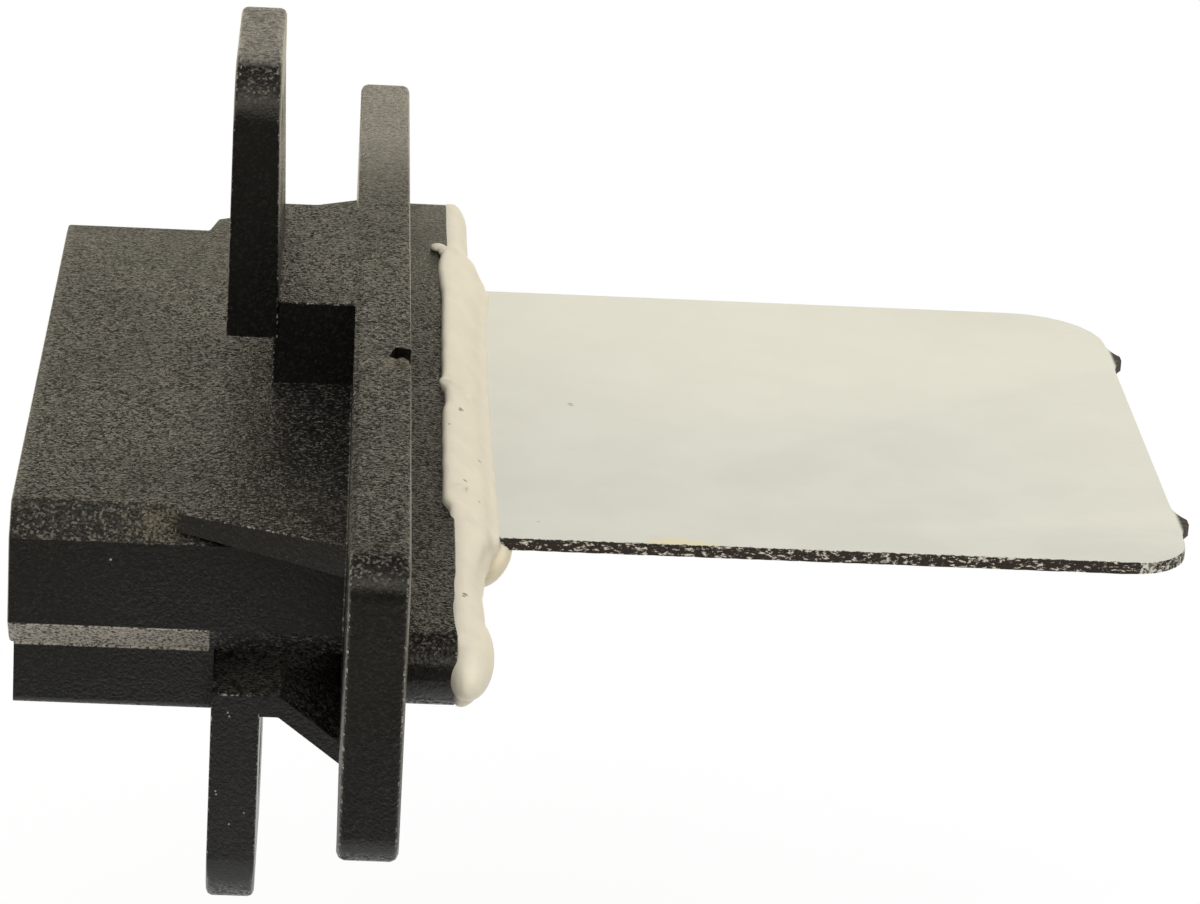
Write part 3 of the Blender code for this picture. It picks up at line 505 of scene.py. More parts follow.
def nylon_finish(values):
    """Black glass-filled nylon: leathery grain, dust, scratches, worn and speckled rims, and painted
    highlights on the ear and flange tops, the mouth's top edge and the dusty lower band.
    """
    made = Finish("black_nylon_moulding", values.gloss)
    fine = made.noise(0.19 * MM, 2.0, 0.6)
    grit = made.node("ShaderNodeTexVoronoi", {"Vector": made.place, "Scale": 1 / (0.15 * MM)})
    grit = made.node("ShaderNodeSeparateColor", {0: grit.outputs["Color"]}).outputs[0]
    leather = made.noise(0.34 * MM, 2.0, 0.55)
    cloud = made.noise(7.0 * MM, 4.0, 0.6)
    rough_zone = made.span(made.noise(11.0 * MM, 2.0, 0.5), 0.36, 0.62)
    flat = made.span(made.level(), 0.3, 0.85)
    flange_top = made.within(Z, *FLANGE_TOP, 0.05 * MM)

    rim = made.node("ShaderNodeAttribute", attribute_name="rim").outputs["Fac"]
    worn = made.times(rim, made.span(fine, 0.50, 0.64), made.span(leather, 0.40, 0.62))
    band = made.times(
        made.within(Z, *BAND_Z, 0.05 * MM),
        made.within(Y, *BAND_Y, 0.05 * MM),
        made.within(X, *BAND_X, 0.06 * MM))
    # Dust on the lower band, lightened further as a painted reflection of the floor
    band_dust_and_sheen = made.times(
        band, made.span(fine, 0.38, 0.50, 0.05, 1.0), made.span(grit, 0.05, 0.4, 0.35, 1.0))
    heart = made.near(STAIN_HEART, 1.9 * MM, 1.9 * MM)
    stain = made.times(
        made.within(Z, *STAIN_Z, 0.06 * MM),
        made.within(X, *STAIN_X, 0.5 * MM),
        made.span(made.maths("ADD", made.times(heart, 0.16), fine), 0.62, 0.72))
    specks = made.span(made.cells(0.5 * MM), 0.13, 0.07)
    crumbs = made.times(
        made.near(metres(NICK_CRUMBS), 1.25 * MM, 0.12 * MM),
        made.span(fine, 0.36, 0.52, 0.2, 1.0))
    scuffs = made.either(*(
        made.near(metres(spot), radius * MM, 0.04 * MM) for spot, radius in SCUFFS))
    ear_end = made.span(made.axes[Z], 24.5 * MM, 24.9 * MM)
    far_end = made.times(made.span(made.axes[Y], 18.0 * MM, 40.0 * MM), flange_top)
    # Painted highlight: the upper ear's top and the flange's far top are lightened, with a leathery
    # grain, as a painted sheen of the bright backdrop
    painted_top_sheen = made.times(made.either(ear_end, far_end), made.span(leather, 0.30, 0.70, 0.25, 1.0))
    along = made.stretched((0, 1, 0))
    seams = made.times(
        flange_top,
        made.within(X, *SEAM_X, 0.02 * MM),
        made.either(*(made.near((0, seam, 0), 0.07 * MM, 0.03 * MM, along) for seam in SEAMS)))
    # Painted highlight along the shroud mouth's top edge, where a wider rounding would catch the light
    lip = made.times(
        made.span(made.axes[X], -23.7 * MM, -23.3 * MM, 1.0, 0.0),
        made.span(made.axes[Z], 3.3 * MM, 3.8 * MM))

    tone = made.mix(made.span(leather, 0.3, 0.75), shade(values.nylon, 0.6), shade(values.nylon, 1.6))
    near_part = made.span(made.axes[Y], 8.0 * MM, 34.0 * MM, 1.0, 0.3)
    speckle = made.times(made.span(grit, 0.68, 1.0), made.span(flat, 0.0, 1.0, 0.05, 0.6), near_part)
    tone = made.mix(speckle, tone, opaque(values.scuff_and_sheen))
    tone = made.mix(seams, tone, opaque(values.nylon))
    tone = made.mix(made.times(painted_top_sheen, 0.8), tone, shade(values.scuff_and_sheen, 1.5))
    tone = made.mix(made.times(lip, 0.16), tone, opaque(values.scuff_and_sheen))
    tone = made.mix(made.times(specks, made.span(leather, 0.5, 0.62), 0.22), tone, opaque(values.scuff_and_sheen))
    tone = made.mix(made.times(stain, 0.45), tone, STAIN_COLOUR)
    tone = made.mix(made.times(band_dust_and_sheen, 0.92), tone, DUST_AND_SHEEN_COLOUR)
    tone = made.mix(made.times(crumbs, 0.8), tone, CRUMB_COLOUR)
    tone = made.mix(made.times(scuffs, 0.7), tone, SCUFF_COLOUR)
    tone = made.mix(made.times(worn, 0.7), tone, WORN_COLOUR)

    rough = made.blend(made.span(cloud, 0.3, 0.7), values.gloss - 0.03, values.gloss + 0.05)
    rough = made.blend(made.span(fine, 0.45, 0.7), rough, values.gloss + 0.16)
    rough = made.blend(made.times(made.span(grit, 0.1, 0.5, 1.0, 0.0), flat, near_part), rough, 0.75)
    rough = made.blend(band, rough, 0.5)
    depth = made.times(made.blend(rough_zone, 0.45, 1.0), made.span(flat, 0.0, 1.0, 0.3, 1.0))
    grain = made.bump(made.times(leather, depth), 0.075 * MM)
    grain = made.bump(made.times(fine, depth), 0.16 * MM, under=grain)
    grain = made.bump(seams, -0.2 * MM, under=grain)
    return made.out(Base_Color=tone, Roughness=rough, Normal=grain)


# The ears' and the flange's flat faces, in mm: x, the way in, the CAD's rounding, the wider rounding
PLATE_FACES = (
    (-11.55, 1, 0.097, 0.38),
    (-8.55, -1, 0.097, 0.38),
    (-3.6, 1, 0.057, 0.48),
    (0.0, -1, 0.057, 0.48),
)

# How far in from either face the middle ring of a rounding lies, as a share of its radius
MIDDLE_RING = 0.293

# How closely, in mm, a vertex has to lie to a ring to count as part of it
RING_SLACK = 0.004

# Where the broken nick is filled with crumbs, and small pale scuffs with their radii, in mm
NICK_CRUMBS = (-0.62, -15.0, 9.42)
SCUFFS = (
    ((-20.9, -27.5, 3.9), 0.09),
    ((-20.2, -28.2, 3.1), 0.07),
    ((-17.9, -28.8, 0.9), 0.07),
    ((-3.55, -20.9, 9.4), 0.10),
    ((-10.5, -28.8, -8.9), 0.05),
    ((-10.4, -28.8, -9.15), 0.05),
    ((-11.1, -28.8, -14.2), 0.05),
    ((-11.05, -28.8, -14.42), 0.05),
    ((-10.2, -28.8, -16.4), 0.05),
    ((-9.3, -28.8, -15.6), 0.04),
)


def weigh_edges(piece, angle, room):
    """Weigh each sharp edge that has room round it, so that the bevel takes those alone."""
    shape = bmesh.new()
    shape.from_mesh(piece.data)
    weights = shape.edges.layers.float.new("bevel_weight_edge")
    for edge in shape.edges:
        if edge.calc_face_angle(0.0) < angle:
            continue
        start, end = (vertex.co for vertex in edge.verts)
        tight = any(other.calc_length() < room for vertex in edge.verts for other in vertex.link_edges)
        for face in edge.link_faces:
            for vertex in face.verts:
                if vertex not in edge.verts:
                    share = intersect_point_line(vertex.co, start, end)[1]
                    foot = start.lerp(end, min(1.0, max(0.0, share)))
                    tight = tight or (vertex.co - foot).length < room
        edge[weights] = 0.0 if tight else 1.0
    shape.to_mesh(piece.data)
    shape.free()


def freedom(place):
    """How free a plate's edge is at a place, from 0 to 1: the flange's ends, the ears' outer ends."""
    if place.x > -3.8 * MM:
        return ease(abs(place.y), 46.2 * MM, 48.0 * MM)
    return max(ease(place.z, 20.9 * MM, 22.6 * MM), ease(-place.z, 18.8 * MM, 20.4 * MM))


def widen_rounding(piece, share):
    """Widen the small rounding at the plates' free ends, whose three rings of vertices move apart."""
    shape = bmesh.new()
    shape.from_mesh(piece.data)
    moves = {}
    for flat_face, into, narrow, wide in PLATE_FACES:
        growth = share * (wide - narrow) * MM
        for vertex in shape.verts:
            step = growth * freedom(vertex.co)
            depth = abs(vertex.co.x - flat_face * MM) / MM
            around = (face.normal for face in vertex.link_faces if abs(face.normal.x) < 0.97)
            outward = sum(around, Vector())
            outward.x = 0
            outward.normalize()
            if depth < RING_SLACK:
                moves[vertex] = -outward * step
            elif abs(depth - MIDDLE_RING * narrow) < RING_SLACK:
                moves[vertex] = (Vector((into, 0, 0)) - outward) * MIDDLE_RING * step
            elif abs(depth - narrow) < RING_SLACK:
                moves[vertex] = Vector((into, 0, 0)) * step
    for vertex, move in moves.items():
        vertex.co += move
    shape.to_mesh(piece.data)
    shape.free()


def mark_rims(piece):
    """Store a face attribute that is 1 on the faces that the bevel made, and narrow ones like them."""
    attribute = piece.data.attributes.new("rim", "FLOAT", "FACE")
    for face in piece.data.polygons:
        corners = [piece.data.vertices[index].co for index in face.vertices]
        longest = max((a - b).length for a, b in zip(corners, corners[1:] + corners[:1]))
        narrow = face.area / longest < 0.11 * MM and max(abs(value) for value in face.normal) < 0.99
        attribute.data[face.index].value = 1.0 if face.material_index == 1 or narrow else 0.0
        face.material_index = 0


def crumble(piece, size, depth):
    """Push each vertex along its normal by noise, so that a lump looks broken."""
    only(piece)
    texture = bpy.data.textures.new(piece.name + "_grit", "CLOUDS")
    texture.noise_scale = size
    texture.noise_depth = 2
    grit = piece.modifiers.new("grit", "DISPLACE")
    grit.texture = texture
    grit.texture_coords = "GLOBAL"
    grit.strength = depth
    return apply_modifiers(piece)


def on_far_edge(place):
    """Whether a place lies on the shroud's far top edge, clear of the flange."""
    level = 3.8 * MM < place.z < 4.0 * MM
    return level and abs(place.y - 26.7 * MM) < 0.1 * MM and place.x < -3.5 * MM


def on_upper_ear(place):
    """Whether a place lies on the upper ear, or on the ear's socket side down to the shroud."""
    socket_side = abs(place.x + 11.5 * MM) < 0.2 * MM
    return place.z > 10.5 * MM or (place.z > 4.5 * MM and socket_side)


class RESISTOR_OT_housing(bpy.types.Operator):
    """Round the moulding's sharp edges and give it a worn black nylon finish."""

    bl_idname = "resistor.housing"
    bl_label = "Moulded housing"

    def execute(self, context):
        values = context.scene.resistor_housing
        shell = merged_copy("housing", "housing_shell")
        widen_rounding(shell, values.end_rounding)
        shift_where(shell, on_far_edge, (0, values.far_chamfer, 0))
        shift_where(shell, on_upper_ear, (-values.lean, 0, 0))
        weigh_edges(shell, math.radians(35), 2.5 * values.rim)
        # The bevel marks the faces that it makes by the second of these two empty material slots
        shell.data.materials.append(None)
        shell.data.materials.append(None)
        rounded = shell.modifiers.new("rounded", "BEVEL")
        rounded.limit_method = "WEIGHT"
        rounded.width = values.rim
        rounded.segments = 3
        rounded.use_clamp_overlap = False
        rounded.material = 1
        apply_modifiers(shell)
        mark_rims(shell)
        smooth(shell)
        flat = shell.modifiers.new("flat_faces", "WEIGHTED_NORMAL")
        flat.keep_sharp = True
        flat.weight = 100
        apply_modifiers(shell)
        nylon = nylon_finish(values)
        dress(shell, "black_nylon", nylon, "housing")
        crumbs = ellipsoid("nick_crumbs", NICK_CRUMBS, (0.5, 1.2, 0.13))
        crumble(crumbs, 0.2 * MM, 0.22 * MM)
        dress(smooth(crumbs), "black_nylon", nylon)
        return {"FINISHED"}


# Sealant

# Along the bead, in mm: where it is, how far back it reaches over the collar, and how far out
BEAD_LINE = (
    (-43.0, 2.95, 4.9),
    (-38.5, 2.85, 4.85),
    (-35.5, 2.9, 4.8),
    (-31.0, 2.95, 4.7),
    (-25.6, 3.02, 5.0),
    (-23.4, 3.02, 5.4),
    (-22.0, 2.66, 6.0),
    (-20.4, 2.26, 6.1),
    (-14.6, 2.28, 6.0),
    (-3.8, 2.36, 5.85),
    (-2.4, 2.55, 5.85),
    (-0.2, 2.56, 5.85),
    (1.4, 2.24, 5.8),
    (3.4, 2.38, 5.8),
    (19.6, 2.48, 5.85),
    (26.3, 2.26, 6.2),
    (28.9, 2.42, 5.8),
    (30.4, 2.75, 5.35),
    (32.2, 3.0, 4.85),
    (34.0, 3.0, 4.62),
    (43.6, 3.03, 4.62),
)

# The bead's middle in X, how far its ends taper, both in mm, and how much of its girth is left there
BEAD_MIDDLE = 3.7
BEAD_TAPER = 1.3
BEAD_END = 0.12

# Flow lines, thin silicone, and the painted shade inside the pinholes
FLOW_COLOUR = (0.72, 0.64, 0.49, 1.0)
THIN_COLOUR = (0.70, 0.60, 0.38, 1.0)
HOLE_SHADE_COLOUR = (0.13, 0.10, 0.065, 1.0)


def along_bead(y):
    """How far back and how far out the bead reaches at one place along it, in mm."""
    if y <= BEAD_LINE[0][0]:
        return BEAD_LINE[0][1:]
    for (low, *start), (high, *end) in zip(BEAD_LINE, BEAD_LINE[1:]):
        if y <= high:
            share = ease(y, low, high)
            return tuple(a + (b - a) * share for a, b in zip(start, end))
    return BEAD_LINE[-1][1:]


def bead_section(y, crown):
    """The bead's cross-section at y, as (x, z) in mm, from its hidden back over its top to its foot."""
    back, out = along_bead(y)
    card = ease(y, -23.4, -21.7) * (1 - ease(y, 27.6, 30.6))
    lip = ease(back, 3.02, 2.6)
    top = 2.28 + (crown - 2.28) * lip
    root = back - 0.35 * (1 - lip)
    bare = [
        (root, 1.2), (root - 0.02, top - 0.3), (root + 0.12, top - 0.06), (back + 0.4, top + 0.02),
        (back + 0.75, top - 0.10), (out - 0.4, 1.6), (out - 0.04, 0.7), (out, 0.0),
    ]
    carded = [
        (back, 1.2), (back - 0.03, top - 0.34), (back + 0.10, top - 0.05), (back + 0.34, top + 0.03),
        (back + 0.72, top - 0.06), (out - 1.35, 1.72), (out - 0.55, 0.72), (out + 0.1, 0.36),
    ]
    upper = [(a[0] + (b[0] - a[0]) * card, a[1] + (b[1] - a[1]) * card) for a, b in zip(bare, carded)]
    lower = [
        (out - 0.5 * card, -0.5), (out - 0.3 - 1.1 * card, -1.5), (BEAD_MIDDLE, -2.45), (3.0, -2.5),
        (2.7, -1.4),
    ]
    return upper + lower


def smooth_line(points, count):
    """Evenly spread points on a closed line that cuts the given corners twice."""
    closed = [Vector(point) for point in points]
    for _ in range(2):
        pairs = list(zip(closed, closed[1:] + closed[:1]))
        closed = [place for a, b in pairs for place in (a.lerp(b, 0.25), a.lerp(b, 0.75))]
    closed.append(closed[0])
    lengths = [(b - a).length for a, b in zip(closed, closed[1:])]
    total = sum(lengths)
    spread = []
    for step in range(count):
        left = total * step / count
        index = 0
        while left > lengths[index]:
            left -= lengths[index]
            index += 1
        spread.append(closed[index].lerp(closed[index + 1], left / lengths[index]))
    return spread


def bead_run(values):
    """The main run of the bead: a grid wrapped round its cross-sections and closed at both ends."""
    sides = 56
    bpy.ops.object.select_all(action="DESELECT")
    bpy.ops.mesh.primitive_grid_add(x_subdivisions=values.stations, y_subdivisions=sides, size=2.0)
    run = bpy.context.object
    first = BEAD_LINE[0][0]
    last = BEAD_LINE[-1][0]
    rings = {}
    for vertex in run.data.vertices:
        share = (vertex.co.x + 1) / 2
        y = first + (last - first) * share
        key = round(share * values.stations)
        if key not in rings:
            rings[key] = smooth_line(bead_section(y, values.crown / MM), sides)
        x, z = rings[key][round((vertex.co.y + 1) / 2 * sides) % sides]
        inward = min(1.0, min(y - first, last - y) / BEAD_TAPER)
        girth = BEAD_END + (1 - BEAD_END) * math.sqrt(max(0.0, 1 - (1 - inward) ** 2))
        x = BEAD_MIDDLE + (x - BEAD_MIDDLE) * girth
        z *= girth
        wander = 0.05 * noise.noise(Vector((y * 0.5, z * 0.3, 4.0)))
        lump = 0.05 * noise.noise(Vector((y * 0.35, x * 0.9, z * 0.9)))
        vertex.co = ((x + wander) * MM, y * MM, (z + lump) * MM)
    edit(run)
    bpy.ops.mesh.remove_doubles(threshold=WELD / 10)
    bpy.ops.mesh.select_all(action="DESELECT")
    bpy.ops.mesh.select_non_manifold()
    bpy.ops.mesh.edge_face_add()
    bpy.ops.mesh.select_all(action="SELECT")
    bpy.ops.mesh.normals_make_consistent(inside=False)
    leave_edit()
    return run


def bead_lumps():
    """The end blob, the fillet under the card, the smear, and the ridges that the nozzle left."""
    return [
        ellipsoid("end_blob", (3.68, -40.2, 0.08), (1.6, 4.8, 1.95)),
        ellipsoid("end_blob_head", (3.45, -36.9, 1.35), (0.75, 1.6, 0.75)),
        ellipsoid("card_fillet", (5.35, -20.2, -1.45), (1.9, 3.0, 1.05), (0, -51, 0)),
        ellipsoid("smear_tip", (2.35, 31.1, 2.42), (0.62, 0.75, 0.30), (0, 0, 30)),
        ellipsoid("smear_tail", (3.05, 30.2, 2.45), (0.75, 0.9, 0.34), (0, 0, -25)),
        ellipsoid("ridge_head", (2.5, 1.5, 2.6), (0.36, 0.75, 0.28)),
        ellipsoid("ridge", (3.6, 0.5, 2.42), (1.3, 0.34, 0.26), (0, 22, -38)),
        ellipsoid("tool_mark", (3.4, -18.2, 2.6), (0.7, 0.26, 0.16), (0, 6, 12)),
    ]


def silicone_finish(values):
    """Cream silicone with faint flow lines, pinholes painted as dark shaded spots, and a thin
    see-through edge.
    """
    made = Finish("cream_silicone", 0.42, specular=0.45)
    made.shader.inputs["Subsurface Weight"].default_value = 0.18
    made.shader.inputs["Subsurface Radius"].default_value = (1.0, 0.8, 0.5)
    made.shader.inputs["Subsurface Scale"].default_value = 0.6 * MM
    cloud = made.noise(2.6 * MM, 4.0, 0.6)
    flow = made.noise(0.8 * MM, 3.0, 0.6, made.stretched((1.0, 0.22, 1.0)))
    fine = made.noise(0.22 * MM, 2.0, 0.5)
    dull = shade(values.silicone, 0.955)
    bright = shade(values.silicone, 1.03)
    tone = made.mix(made.span(cloud, 0.3, 0.7), dull, bright)
    tone = made.mix(made.times(made.span(flow, 0.55, 0.75), 0.2), tone, FLOW_COLOUR)
    thin = made.near((5.9 * MM, -22.6 * MM, -1.4 * MM), 1.3 * MM, 1.0 * MM)
    tone = made.mix(made.times(thin, 0.5), tone, THIN_COLOUR)
    # The pinholes have no depth: the shade inside them is painted as dark spots on the bead's top
    above = made.span(made.axes[Z], 0.0, 0.4 * MM)
    painted_hole_shade = made.times(made.spots(PINHOLES, 0.05), above)
    tone = made.mix(made.times(painted_hole_shade, 0.85), tone, HOLE_SHADE_COLOUR)
    rough = made.blend(cloud, 0.36, 0.5)
    normal = made.bump(cloud, 0.10 * MM)
    normal = made.bump(flow, 0.035 * MM, under=normal)
    normal = made.bump(fine, 0.008 * MM, under=normal)
    return made.out(Base_Color=tone, Roughness=rough, Normal=normal)


# Pinholes and pits in the bead's top, in mm: x, y and radius
PINHOLES = (
    (3.62, -3.2, 0.15),
    (3.52, -3.5, 0.11),
    (2.78, -7.2, 0.09),
    (4.75, -10.6, 0.11),
    (3.72, -16.4, 0.13),
    (5.95, -13.2, 0.10),
    (5.98, -17.2, 0.08),
    (3.5, -35.8, 0.17),
    (3.42, -36.2, 0.12),
    (4.6, -18.6, 0.08),
)


class RESISTOR_OT_sealant(bpy.types.Operator):
    """Lay the silicone bead along the collar and round the card's root."""

    bl_idname = "resistor.sealant"
    bl_label = "Silicone bead"

    def execute(self, context):
        values = context.scene.resistor_sealant
        bead = join([bead_run(values), *bead_lumps()], "sealant_bead")
        fuse(bead, values.grain, 9)
        only(bead)
        bpy.ops.object.shade_smooth()
        dress(bead, "silicone", silicone_finish(values), "sealant")
        return {"FINISHED"}


# Card

# Yellowed varnish, specks, white flecks in the broken edge, and the outer end's broken tips
VARNISH_COLOUR = (0.78, 0.66, 0.28, 1.0)
SPECK_COLOUR = (0.25, 0.20, 0.15, 1.0)
FLECK_COLOUR = (0.62, 0.56, 0.47, 1.0)
TIP_COLOUR = (0.045, 0.036, 0.03, 1.0)


def enamel_finish(values):
    """Off-white enamel with faint ripple and mottling, and a broken dark edge with white flecks."""
    made = Finish("card_enamel_coat", 0.3)
    cloud = made.noise(7.0 * MM, 3.0, 0.55)
    ripple = made.noise(2.4 * MM, 2.0, 0.5)
    fine = made.noise(0.2 * MM, 3.0, 0.7)
    crumb = made.noise(0.42 * MM, 4.0, 0.75)
    near_edge = CARD_LOW.y
    tip = CARD_HIGH.x - values.trim
    broken = made.span(
        made.maths("ADD", made.axes[Y], made.times(made.span(crumb, 0.25, 0.75), -values.chip * 1.3)),
        near_edge - 0.02 * MM, near_edge + 0.03 * MM, 1.0, 0.0)
    side = made.times(made.span(made.level(), 0.5, 0.8, 1.0, 0.0), made.span(crumb, 0.40, 0.52))
    corner = made.times(
        side, made.span(made.axes[X], 44.0 * MM, 46.5 * MM),
        made.span(made.axes[Y], near_edge + 2.0 * MM, near_edge + 4.5 * MM, 1.0, 0.0))
    middle = (CARD_LOW.z + CARD_HIGH.z) / 2
    line = made.times(
        side, made.span(made.axes[X], 48.2 * MM, 48.9 * MM),
        made.within(Z, middle - 0.16 * MM, middle + 0.16 * MM, 0.06 * MM))
    broken = made.either(broken, corner, line)
    fleck = made.span(made.noise(0.30 * MM, 3.0, 0.7, made.stretched((0.7, 1.0, 1.6))), 0.53, 0.60)
    above = made.span(made.axes[Z], CARD_HIGH.z - 0.3 * MM, CARD_HIGH.z - 0.1 * MM)
    drips = made.times(made.spots(VARNISH, 0.35), above)
    speck = made.times(made.spots(CARD_SPECKS, 0.07), above)
    tips = made.times(
        made.span(made.axes[X], tip - 0.72 * MM, tip - 0.42 * MM),
        made.span(crumb, 0.30, 0.42, 0.35, 1.0))
    seam = made.times(
        made.span(made.axes[X], tip - 0.85 * MM, tip - 0.72 * MM),
        made.span(made.axes[Z], CARD_HIGH.z - 0.10 * MM, CARD_HIGH.z - 0.02 * MM, 1.0, 0.0),
        made.span(crumb, 0.40, 0.55))
    dull = shade(values.enamel, 0.975)
    bright = shade(values.enamel, 1.02)
    tone = made.mix(made.span(cloud, 0.35, 0.68), dull, bright)
    tone = made.mix(made.times(drips, 0.5), tone, VARNISH_COLOUR)
    tone = made.mix(made.times(speck, 0.75), tone, SPECK_COLOUR)
    tone = made.mix(made.times(seam, 0.8), tone, opaque(values.core))
    tone = made.mix(broken, tone, made.mix(fleck, opaque(values.core), FLECK_COLOUR))
    tone = made.mix(tips, tone, TIP_COLOUR)
    rough = made.blend(made.either(broken, tips), made.blend(cloud, 0.26, 0.36), 0.8)
    normal = made.bump(ripple, 0.035 * MM)
    normal = made.bump(fine, 0.004 * MM, under=normal)
    normal = made.bump(made.times(broken, fleck), 0.12 * MM, under=normal)
    return made.out(Base_Color=tone, Roughness=rough, Normal=normal)


# Yellowed drips at the card's near edge, and specks on its top, in mm: x, y and radius
VARNISH = (
    (15.7, -21.1, 0.45),
    (16.5, -20.8, 0.5),
    (17.4, -20.9, 0.6),
    (18.4, -21.1, 0.55),
    (19.3, -21.3, 0.4),
)
CARD_SPECKS = (
    (11.1, 4.2, 0.16),
    (11.2, 3.9, 0.12),
    (8.4, -18.3, 0.08),
)

# Length of one chip in the card's near edge
CHIP_SIZE = 0.35 * MM


def near_card_edge(place):
    """Whether a place lies on the card's near edge."""
    return place.y < CARD_LOW.y + 0.2 * MM


def along_card_edge(start, end):
    """Whether an edge of the card's mesh runs along its near edge."""
    return abs(start.x - end.x) > 10 * MM and near_card_edge(start) and near_card_edge(end)


def chip_edge(card, depth):
    """Push the card's near edge in by noise, so that it looks chipped."""
    edit_edges(card, along_card_edge)
    bpy.ops.mesh.subdivide(number_cuts=150)
    leave_edit()
    for vertex in card.data.vertices:
        if near_card_edge(vertex.co):
            spot = Vector((vertex.co.x, vertex.co.z, 0.0)) / CHIP_SIZE
            vertex.co.y += depth * 0.55 * max(0.0, noise.noise(spot) + 0.15)


class RESISTOR_OT_card(bpy.types.Operator):
    """Round the enamelled card's rim, roughen its broken edge and coat it."""

    bl_idname = "resistor.card"
    bl_label = "Enamelled card"

    def execute(self, context):
        values = context.scene.resistor_card
        card = merged_copy("card", "card_plate")
        shift_where(card, lambda place: place.x > 40 * MM, (-values.trim, 0, 0))
        bevel_sharp(card, math.radians(60), 0.14 * MM, 3)
        chip_edge(card, values.chip)
        smooth(card, math.radians(40))
        dress(card, "card_enamel", enamel_finish(values), "card")
        return {"FINISHED"}


# Underside: printed circuit, thermal cut-out, solder, terminals

SILVER_TARNISH = (0.36, 0.31, 0.22, 1.0)
CASE_TARNISH = (0.30, 0.25, 0.17, 1.0)
SOLDER_TARNISH = (0.40, 0.37, 0.31, 1.0)
BLADE_TARNISH = (0.42, 0.33, 0.20, 1.0)

# In mm: how much of each foot of the cut-out the solder wets, and how far under the card it is centred
WETTED_FOOT = 1.4
FILM_DROP = 0.03


def silver_finish(values):
    """Dull fired silver print with a grainy surface."""
    made = Finish("fired_silver_print", 0.48, metallic=0.75)
    grain = made.noise(0.18 * MM, 3.0, 0.7)
    cloud = made.noise(2.2 * MM, 3.0, 0.6)
    tone = made.mix(made.span(cloud, 0.3, 0.7), shade(values.silver, 0.86), shade(values.silver, 1.08))
    tone = made.mix(made.times(made.span(cloud, 0.58, 0.75), 0.4), tone, SILVER_TARNISH)
    rough = made.blend(grain, 0.4, 0.6)
    return made.out(Base_Color=tone, Roughness=rough, Normal=made.bump(grain, 0.012 * MM))


def track_finish(values):
    """Glassy dark resistor print with fine pits."""
    made = Finish("glassy_resistor_print", 0.3)
    grain = made.noise(0.22 * MM, 3.0, 0.7)
    cloud = made.noise(1.6 * MM, 3.0, 0.6)
    tone = made.mix(made.span(cloud, 0.3, 0.7), shade(values.glass, 0.75), shade(values.glass, 1.6))
    rough = made.blend(grain, 0.2, 0.42)
    return made.out(Base_Color=tone, Roughness=rough, Normal=made.bump(grain, 0.010 * MM))


def metal_finish(name, colour, roughness, streaks, tarnish):
    """Plated metal with drawing streaks and a little tarnish."""
    made = Finish(name, roughness, metallic=1.0)
    streak = made.noise(0.12 * MM, 3.0, 0.6, made.stretched(streaks))
    cloud = made.noise(1.5 * MM, 3.0, 0.6)
    tone = made.mix(made.span(cloud, 0.35, 0.7), opaque(colour), shade(colour, 0.82))
    tone = made.mix(made.times(made.span(cloud, 0.6, 0.75), 0.5), tone, tarnish)
    rough = made.blend(streak, roughness - 0.08, roughness + 0.12)
    return made.out(Base_Color=tone, Roughness=rough, Normal=made.bump(streak, 0.006 * MM))


def resin_finish(values):
    """Cast resin with small ripples."""
    made = Finish("cast_resin", 0.3)
    ripple = made.noise(0.5 * MM, 2.0, 0.5)
    tone = made.mix(made.span(ripple, 0.3, 0.7), shade(values.resin, 0.8), shade(values.resin, 1.2))
    rough = made.blend(ripple, 0.24, 0.4)
    return made.out(Base_Color=tone, Roughness=rough, Normal=made.bump(ripple, 0.03 * MM))


def seat_print(node, lift):
    """A fired print: the node's outline with a soft rim, laid on the card itself."""
    film = merged_copy(node, node + "_film")
    bevel_sharp(film, math.radians(60), 0.02 * MM, 2)
    edit(film)
    bpy.ops.transform.translate(value=(0, 0, lift))
    leave_edit()
    return smooth(film)


class RESISTOR_OT_printed_circuit(bpy.types.Operator):
    """Lay the silver conductors and the resistor tracks on the card's underside."""

    bl_idname = "resistor.printed_circuit"
    bl_label = "Printed circuit"

    def execute(self, context):
        values = context.scene.resistor_underside
        lift = CARD_LOW.z - PRINT_HIGH.z
        silver = silver_finish(values)
        glass = track_finish(values)
        for node in numbered("conductor_"):
            dress(seat_print(node, lift), "silver_print", silver, node)
        for node in numbered("resistor_track_"):
            dress(seat_print(node, lift), "resistor_print", glass, node)
        return {"FINISHED"}


def turned_shape(name, centre, profile, sides=48):
    """A body turned about X, from (x, radius) points in metres, spun from its edge."""
    mesh = bpy.data.meshes.new(name)
    mesh.from_pydata([(x, 0.0, radius) for x, radius in profile],
                     [(i, i + 1) for i in range(len(profile) - 1)], [])
    made = bpy.data.objects.new(name, mesh)
    bpy.context.scene.collection.objects.link(made)
    edit(made)
    bpy.ops.mesh.spin(steps=sides, angle=2 * math.pi, center=(0, 0, 0), axis=(1, 0, 0))
    bpy.ops.mesh.select_all(action="SELECT")
    bpy.ops.mesh.remove_doubles(threshold=WELD / 10)
    bpy.ops.mesh.normals_make_consistent(inside=False)
    bpy.ops.transform.translate(value=centre)
    leave_edit()
    return made


